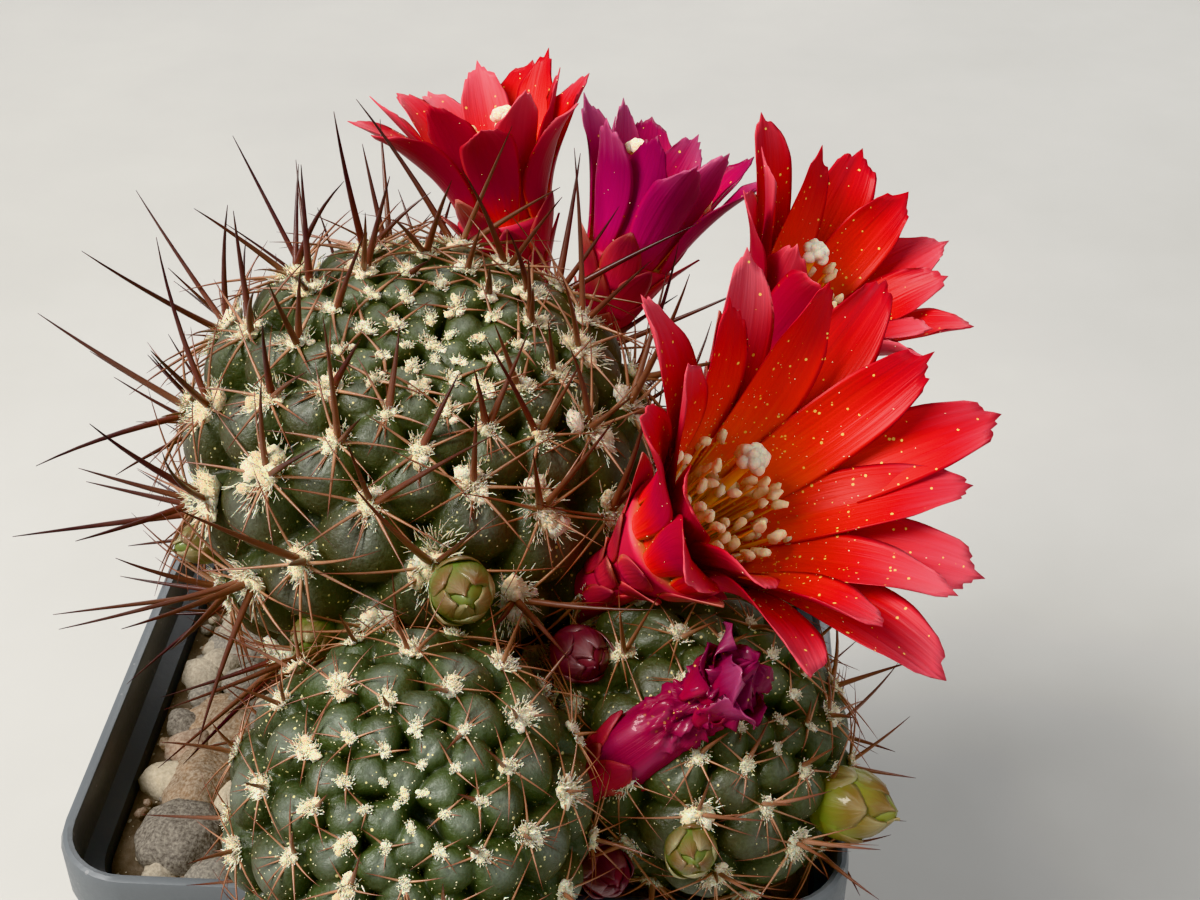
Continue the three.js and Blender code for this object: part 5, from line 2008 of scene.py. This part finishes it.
@dataclass
class GravelBed:
    """The filling: a bed of grit with stones of several sizes on it."""

    pot: Pot
    top: float = SOIL_TOP
    base: float = 2.4
    pitch: float = 11
    gap: float = 0.35
    seed: int = 71

    def bed_form(self) -> Form:
        """Builds the bed's block, with a gently uneven top."""
        rings = []
        inset = 2 * (self.pot.wall + self.gap)
        for height in (self.base, 20, 45, 70, self.top - 0.4):
            width = self.pot.width_at(height) - inset
            rings.append(self.pot.ring(width, height, self.pot.corner - 3.5 + height * 0.02))
        edge = rings[-1]
        for share in np.linspace(0.96, 0.02, 22):
            ring = edge * np.array([share, share, 1])
            bumps = 0.5 * np.sin(0.5 * ring[:, 0]) * np.sin(0.43 * ring[:, 1] + 1)
            bumps += 0.35 * np.sin(1.3 * ring[:, 0] + 2) * np.sin(1.1 * ring[:, 1])
            rings.append(ring + np.column_stack([bumps * 0, bumps * 0, bumps + 0.2]))
        return lofted(np.array(rings), {"tone": np.full(len(rings) * len(edge), 0.4)})

    def stones(self) -> Grains:
        """Repeats the frame's big stones, in the same places."""
        random = SeededRandom(self.seed)
        within = (self.pot.shoulder - 2 * self.pot.wall) / 2 - 0.6
        cells = int(2 * within // self.pitch)
        pitch = 2 * within / cells
        stones = Grains()
        for row in range(cells):
            for column in range(cells):
                size = self.pitch * (0.85 + 0.45 * random())
                limit = within - size * 0.62
                x = min(max(-within + pitch * (column + 0.2 + 0.6 * random()), -limit), limit)
                y = min(max(-within + pitch * (row + 0.2 + 0.6 * random()), -limit), limit)
                z = self.top + 0.2 + 1.2 * random()
                aim = np.array([random() - 0.5, random() - 0.5, 2])
                spin, flat, stretch = FULL_TURN * random(), 0.55 + 0.25 * random(), 0.8 + 0.45 * random()
                for _ in range(8):
                    random()
                if not inside_corner(x, y, *STONE_CORNER):
                    continue
                half = size / 2 * LARGE_STONE_SHARE
                stones.add(np.array([x, y, z]), aim, (half * stretch, half / stretch, half * flat), spin,
                           SeededRandom(row * 16 + column + 5)())
        return stones

    def scattered(self, count: int, size: float, spread: float, seed: int) -> Grains:
        """Scatters smaller stones evenly over the bed.

        Args:
            count: How many.
            size: Their usual half size.
            spread: How much that varies, as a share.
            seed: The random seed.

        Returns:
            The stones.
        """
        random = SeededRandom(seed)
        limit = (self.pot.shoulder - 2 * self.pot.wall) / 2 - size - 1.2
        stones = Grains()
        for index in range(count):
            x, y = (limit * (2 * ((index * step) % 1) - 1) for step in SPREAD_STEPS)
            half = size * (1 + spread * (random() - 0.5))
            aim = np.array([random() - 0.5, random() - 0.5, 1.2])
            shape = tuple(half * (least + more * random()) for least, more in GRIT_SHAPE)
            if inside_corner(x, y, *GRIT_CORNER):
                middle = np.array([x, y, self.top + 0.4 + 0.5 * random()])
                stones.add(middle, aim, shape, FULL_TURN * random(), random())
        return stones

    def build(self, soil: bpy.types.Material, stone: bpy.types.Material, nursery: Nursery) -> None:
        """Builds and dresses the bed and its stones."""
        bed = self.bed_form().piece("gravel_bed", soil)
        settings = {"Material": stone, "Detail": 4, "Unevenness": 0.4, "Noise Scale": 190.0}
        large = nursery.grains.grow(self.stones().form(), "large_stones", settings)
        middling = nursery.grains.grow(self.scattered(*MIDDLING_STONES).form(), "middling_stones", {
            **settings, "Detail": 3, "Noise Scale": 420.0,
        })
        grit = nursery.grains.grow(self.scattered(*GRIT_STONES).form(), "grit", {
            **settings, "Detail": 1, "Noise Scale": 900.0,
        })
        seat(join_pieces(bed, large, middling, grit), "gravel", "soil")


HEADS = {
    "main": CactusHead(
        "main", (-6.3, -2.1, 115), (0.17, -0.26, 0.95), 28.5, 21, 42, 0.05, 3, 4.2, 12, 11,
        SpineHabit(20, 12.5, 6, 0.48, 2.4, 7, 1.0, 1.15), 1.0),
    "front": CactusHead(
        "front", (-1.9, -48.3, 101.8), (0.09, -0.6, 0.8), 19.2, 15, 34, 0.5, 1.6, 3.9, 9.4, 23,
        SpineHabit(8.5, 7, 4.5, 0.3, 1.3, 6, 0.6, 0.82), 2.0),
    "right": CactusHead(
        "right", (28, -28.7, 94.6), (0.45, -0.35, 0.82), 18.3, 14, 27, 0.4, 1.4, 4.2, 9.6, 37,
        SpineHabit(11, 8.5, 5, 0.33, 1.8, 7, 0.6, 0.85), 1.2),
}

FLOWERS = (
    Flower("front", (25.3, -25.1, 120.8), (0.549, -0.389, 0.74), 24, 6.6,
           (Whorl(9, 53, 30, 6.7), Whorl(9, 38, 29, 6.2)), 5, 250, 12, 14, 101),
    Flower("back", (35, 10, 123), (0.51, -0.137, 0.849), 22, 6,
           (Whorl(7, 40, 24, 6.6), Whorl(7, 27, 23.5, 6)), 5, 300, 30, 7, 113),
    Flower("middle", (17, 25, 127), (0.367, 0.323, 0.872), 20, 5.6,
           (Whorl(6, 33, 18.5, 5.8), Whorl(6, 20, 18.5, 5.2)), 4, 200, 0, 6, 127),
    Flower("left", (1, 30, 130), (-0.21, 0.185, 0.96), 22, 6,
           (Whorl(7, 46, 20.5, 6), Whorl(7, 30, 20.5, 5.6)), 4, 180, 20, 8, 139),
)

BUDS = (
    Bud("bud_green_upper", (2.5, -33.7, 119), (0.25, -0.85, 0.45), 7, 8, "bud_green"),
    Bud("bud_green_left", (-15.6, -28.2, 107), (-0.3, -0.93, 0.2), 5, 6, "bud_green"),
    Bud("bud_green_side", (-30.5, -15.6, 110), (-0.8, -0.55, 0.15), 5.4, 6.5, "bud_green"),
    Bud("bud_red_middle", (14.6, -29.8, 107.4), (0.35, -0.8, 0.5), 6.4, 9, "bud_red"),
    Bud("bud_yellow_right", (45, -36.5, 93), (0.85, -0.45, 0.25), 8.4, 9.5, "bud_green"),
    Bud("bud_green_lower", (27, -47, 96), (0.1, -0.85, 0.5), 5.6, 6, "bud_green"),
    Bud("bud_red_lower", (18, -46.5, 92), (0.3, -0.8, 0.5), 5.6, 8, "bud_red"),
)


@dataclass(frozen=True)
class Studio:
    """The pale floor, the soft lights and the camera."""

    camera_place: tuple[float, float, float] = (0.0241, -0.1701, 0.2332)
    camera_turn: tuple[float, float, float] = (55.0, 0.0, 3.1)
    focal_length: float = 51.57
    sensor_width: float = 36
    clip_start: float = 0.01
    floor_size: float = 3.0
    sky_tint: Colour = (0.9, 0.92, 0.95, 1)
    sky_strength: float = 0.36
    lamps: tuple[tuple, ...] = (
        ("key", (-0.5, -0.3, 0.8), 0.4, 12.5, (1.0, 0.98, 0.95)),
        ("fill", (0.75, -0.5, 0.45), 0.9, 3.0, (0.93, 0.96, 1.0)),
        ("back", (0.1, 0.8, 0.6), 0.7, 4.0, (1.0, 1.0, 1.0)),
    )

    def build(self) -> None:
        """Builds the studio."""
        bpy.context.scene.view_settings.view_transform = "Khronos PBR Neutral"
        self.build_floor()
        for lamp in self.lamps:
            self.add_light(*lamp)
        world = bpy.data.worlds.new("studio")
        bpy.context.scene.world = world
        world.use_nodes = True
        sky = world.node_tree.nodes["Background"].inputs
        sky["Color"].default_value = self.sky_tint
        sky["Strength"].default_value = self.sky_strength
        data = bpy.data.cameras.new("camera")
        data.lens = self.focal_length
        data.sensor_width = self.sensor_width
        data.clip_start = self.clip_start
        camera = bpy.data.objects.new("camera", data)
        camera.location = self.camera_place
        camera.rotation_euler = [math.radians(angle) for angle in self.camera_turn]
        bpy.context.scene.collection.objects.link(camera)
        bpy.context.scene.camera = camera

    def build_floor(self) -> None:
        """Lays a plain pale floor just under the pot."""
        half = self.floor_size / 2 / MM
        corners = np.array([[-half, -half, 0], [half, -half, 0], [half, half, 0], [-half, half, 0]], float)
        finish = PlainFinish("pale_floor", "b9b7b2", "c3c1bc", Gloss(0.8, 0.2), 6, 90, 0.05, "b9b7b2", 0.0)
        floor = Form(corners, [(0, 1, 2, 3)]).piece("floor", finish.material())

    @staticmethod
    def add_light(name: str, place: tuple[float, float, float], size: float, power: float,
                  tint: tuple[float, float, float]) -> None:
        """Adds a square lamp that faces the plant.

        Args:
            name: Its name.
            place: Where it stands, in metres.
            size: Its side, in metres.
            power: Its power in watts.
            tint: Its colour.
        """
        data = bpy.data.lights.new(name, "AREA")
        data.size = size
        data.energy = power
        data.color = tint
        lamp = bpy.data.objects.new(name, data)
        lamp.location = place
        lamp.rotation_euler = (Vector((0, 0, 0.1)) - Vector(place)).to_track_quat("-Z", "Y").to_euler()
        bpy.context.scene.collection.objects.link(lamp)


def make_finishes() -> dict[str, bpy.types.Material]:
    """Makes every finish of the plant, the pot and the gravel, once."""
    recipes = {
        "red": PetalFinish("petal_crimson", "ea8c0c", "ec5006", "de2606", "c40a0c", "a8081e",
                           "ac0c32", "ea7480"),
        "magenta": PetalFinish("petal_magenta", "e87a1e", "e0402a", "c41040", "a40a48", "7e0a40",
                               "ac1458", "e07aa0"),
        "faded": PetalFinish("petal_faded", "c8482a", "b42034", "940c30", "7a0a36", "5c0a34",
                             "8e0c30", "b4587c", 0.2, 0.25),
        "tube": PetalFinish("tube_scales", "b8a050", "d4602e", "c8304a", "a81c44", "7a2838",
                            "b83440", "e8907a", 0.35),
        "bud_green": PetalFinish("bud_green", "6a7c42", "64793c", "5c7036", "5f6834", "744838",
                                 "64783c", "a8ae80", 0.4, 0.3),
        "bud_red": PetalFinish("bud_maroon", "7e5044", "784044", "6e303a", "602432", "441a26",
                               "703238", "a07876", 0.35, 0.25),
        "bud_yellow": PetalFinish("bud_yellow", "8c9444", "868e3c", "8a8034", "96702e", "6e3c28",
                                  "7e8838", "bcc48c", 0.45, 0.3),
        "main": SkinFinish("skin_main", "3c441b", "323217", "3a2815", "8e908a", 0.34),
        "front": SkinFinish("skin_front", "344019", "2d3416", "352d15", "92968f", 0.36),
        "right": SkinFinish("skin_right", "363e1b", "303016", "382815", "82847c", 0.3),
        "plastic": PlainFinish("pot_plastic", "63676a", "6b6f71", Gloss(0.42, 0.5, 0.0, 0.0, 1.0, 0.1),
                               40, 1400, 0.05, "7f8080", 0.05),
        "soil": PlainFinish("soil_grit", "5a4e41", "7d7163", Gloss(0.95, 0.2), 500, 1600, 0.6,
                            "b5aa98", 0.5),
        "stone": StoneFinish(),
    }
    return {name: recipe.material() for name, recipe in recipes.items()}


def main() -> None:
    """Builds the studio and every piece in order."""
    logging.basicConfig(level=logging.INFO, format="%(message)s")
    Studio().build()
    nursery = Nursery()
    finishes = make_finishes()
    pot = Pot()
    pot.build(finishes["plastic"])
    GravelBed(pot).build(finishes["soil"], finishes["stone"], nursery)
    blooms = []
    for flower in FLOWERS:
        petal = finishes["magenta" if flower.name == "middle" else "red"]
        blooms.append(flower.build(petal, finishes["tube"], nursery).tree())
    blooms.append(SpentFlower().build(finishes["faded"], finishes["tube"]).tree())
    for bud in BUDS:
        finish = "bud_yellow" if bud.name == "bud_yellow_right" else bud.slot
        blooms.append(bud.build(finishes[finish]).tree())
    bodies = {name: head.body_form().tree() for name, head in HEADS.items()}
    for name, head in HEADS.items():
        others = [tree for other, tree in bodies.items() if other != name]
        head.build(finishes[name], nursery, [*blooms, *others])


if __name__ == "__main__":
    main()
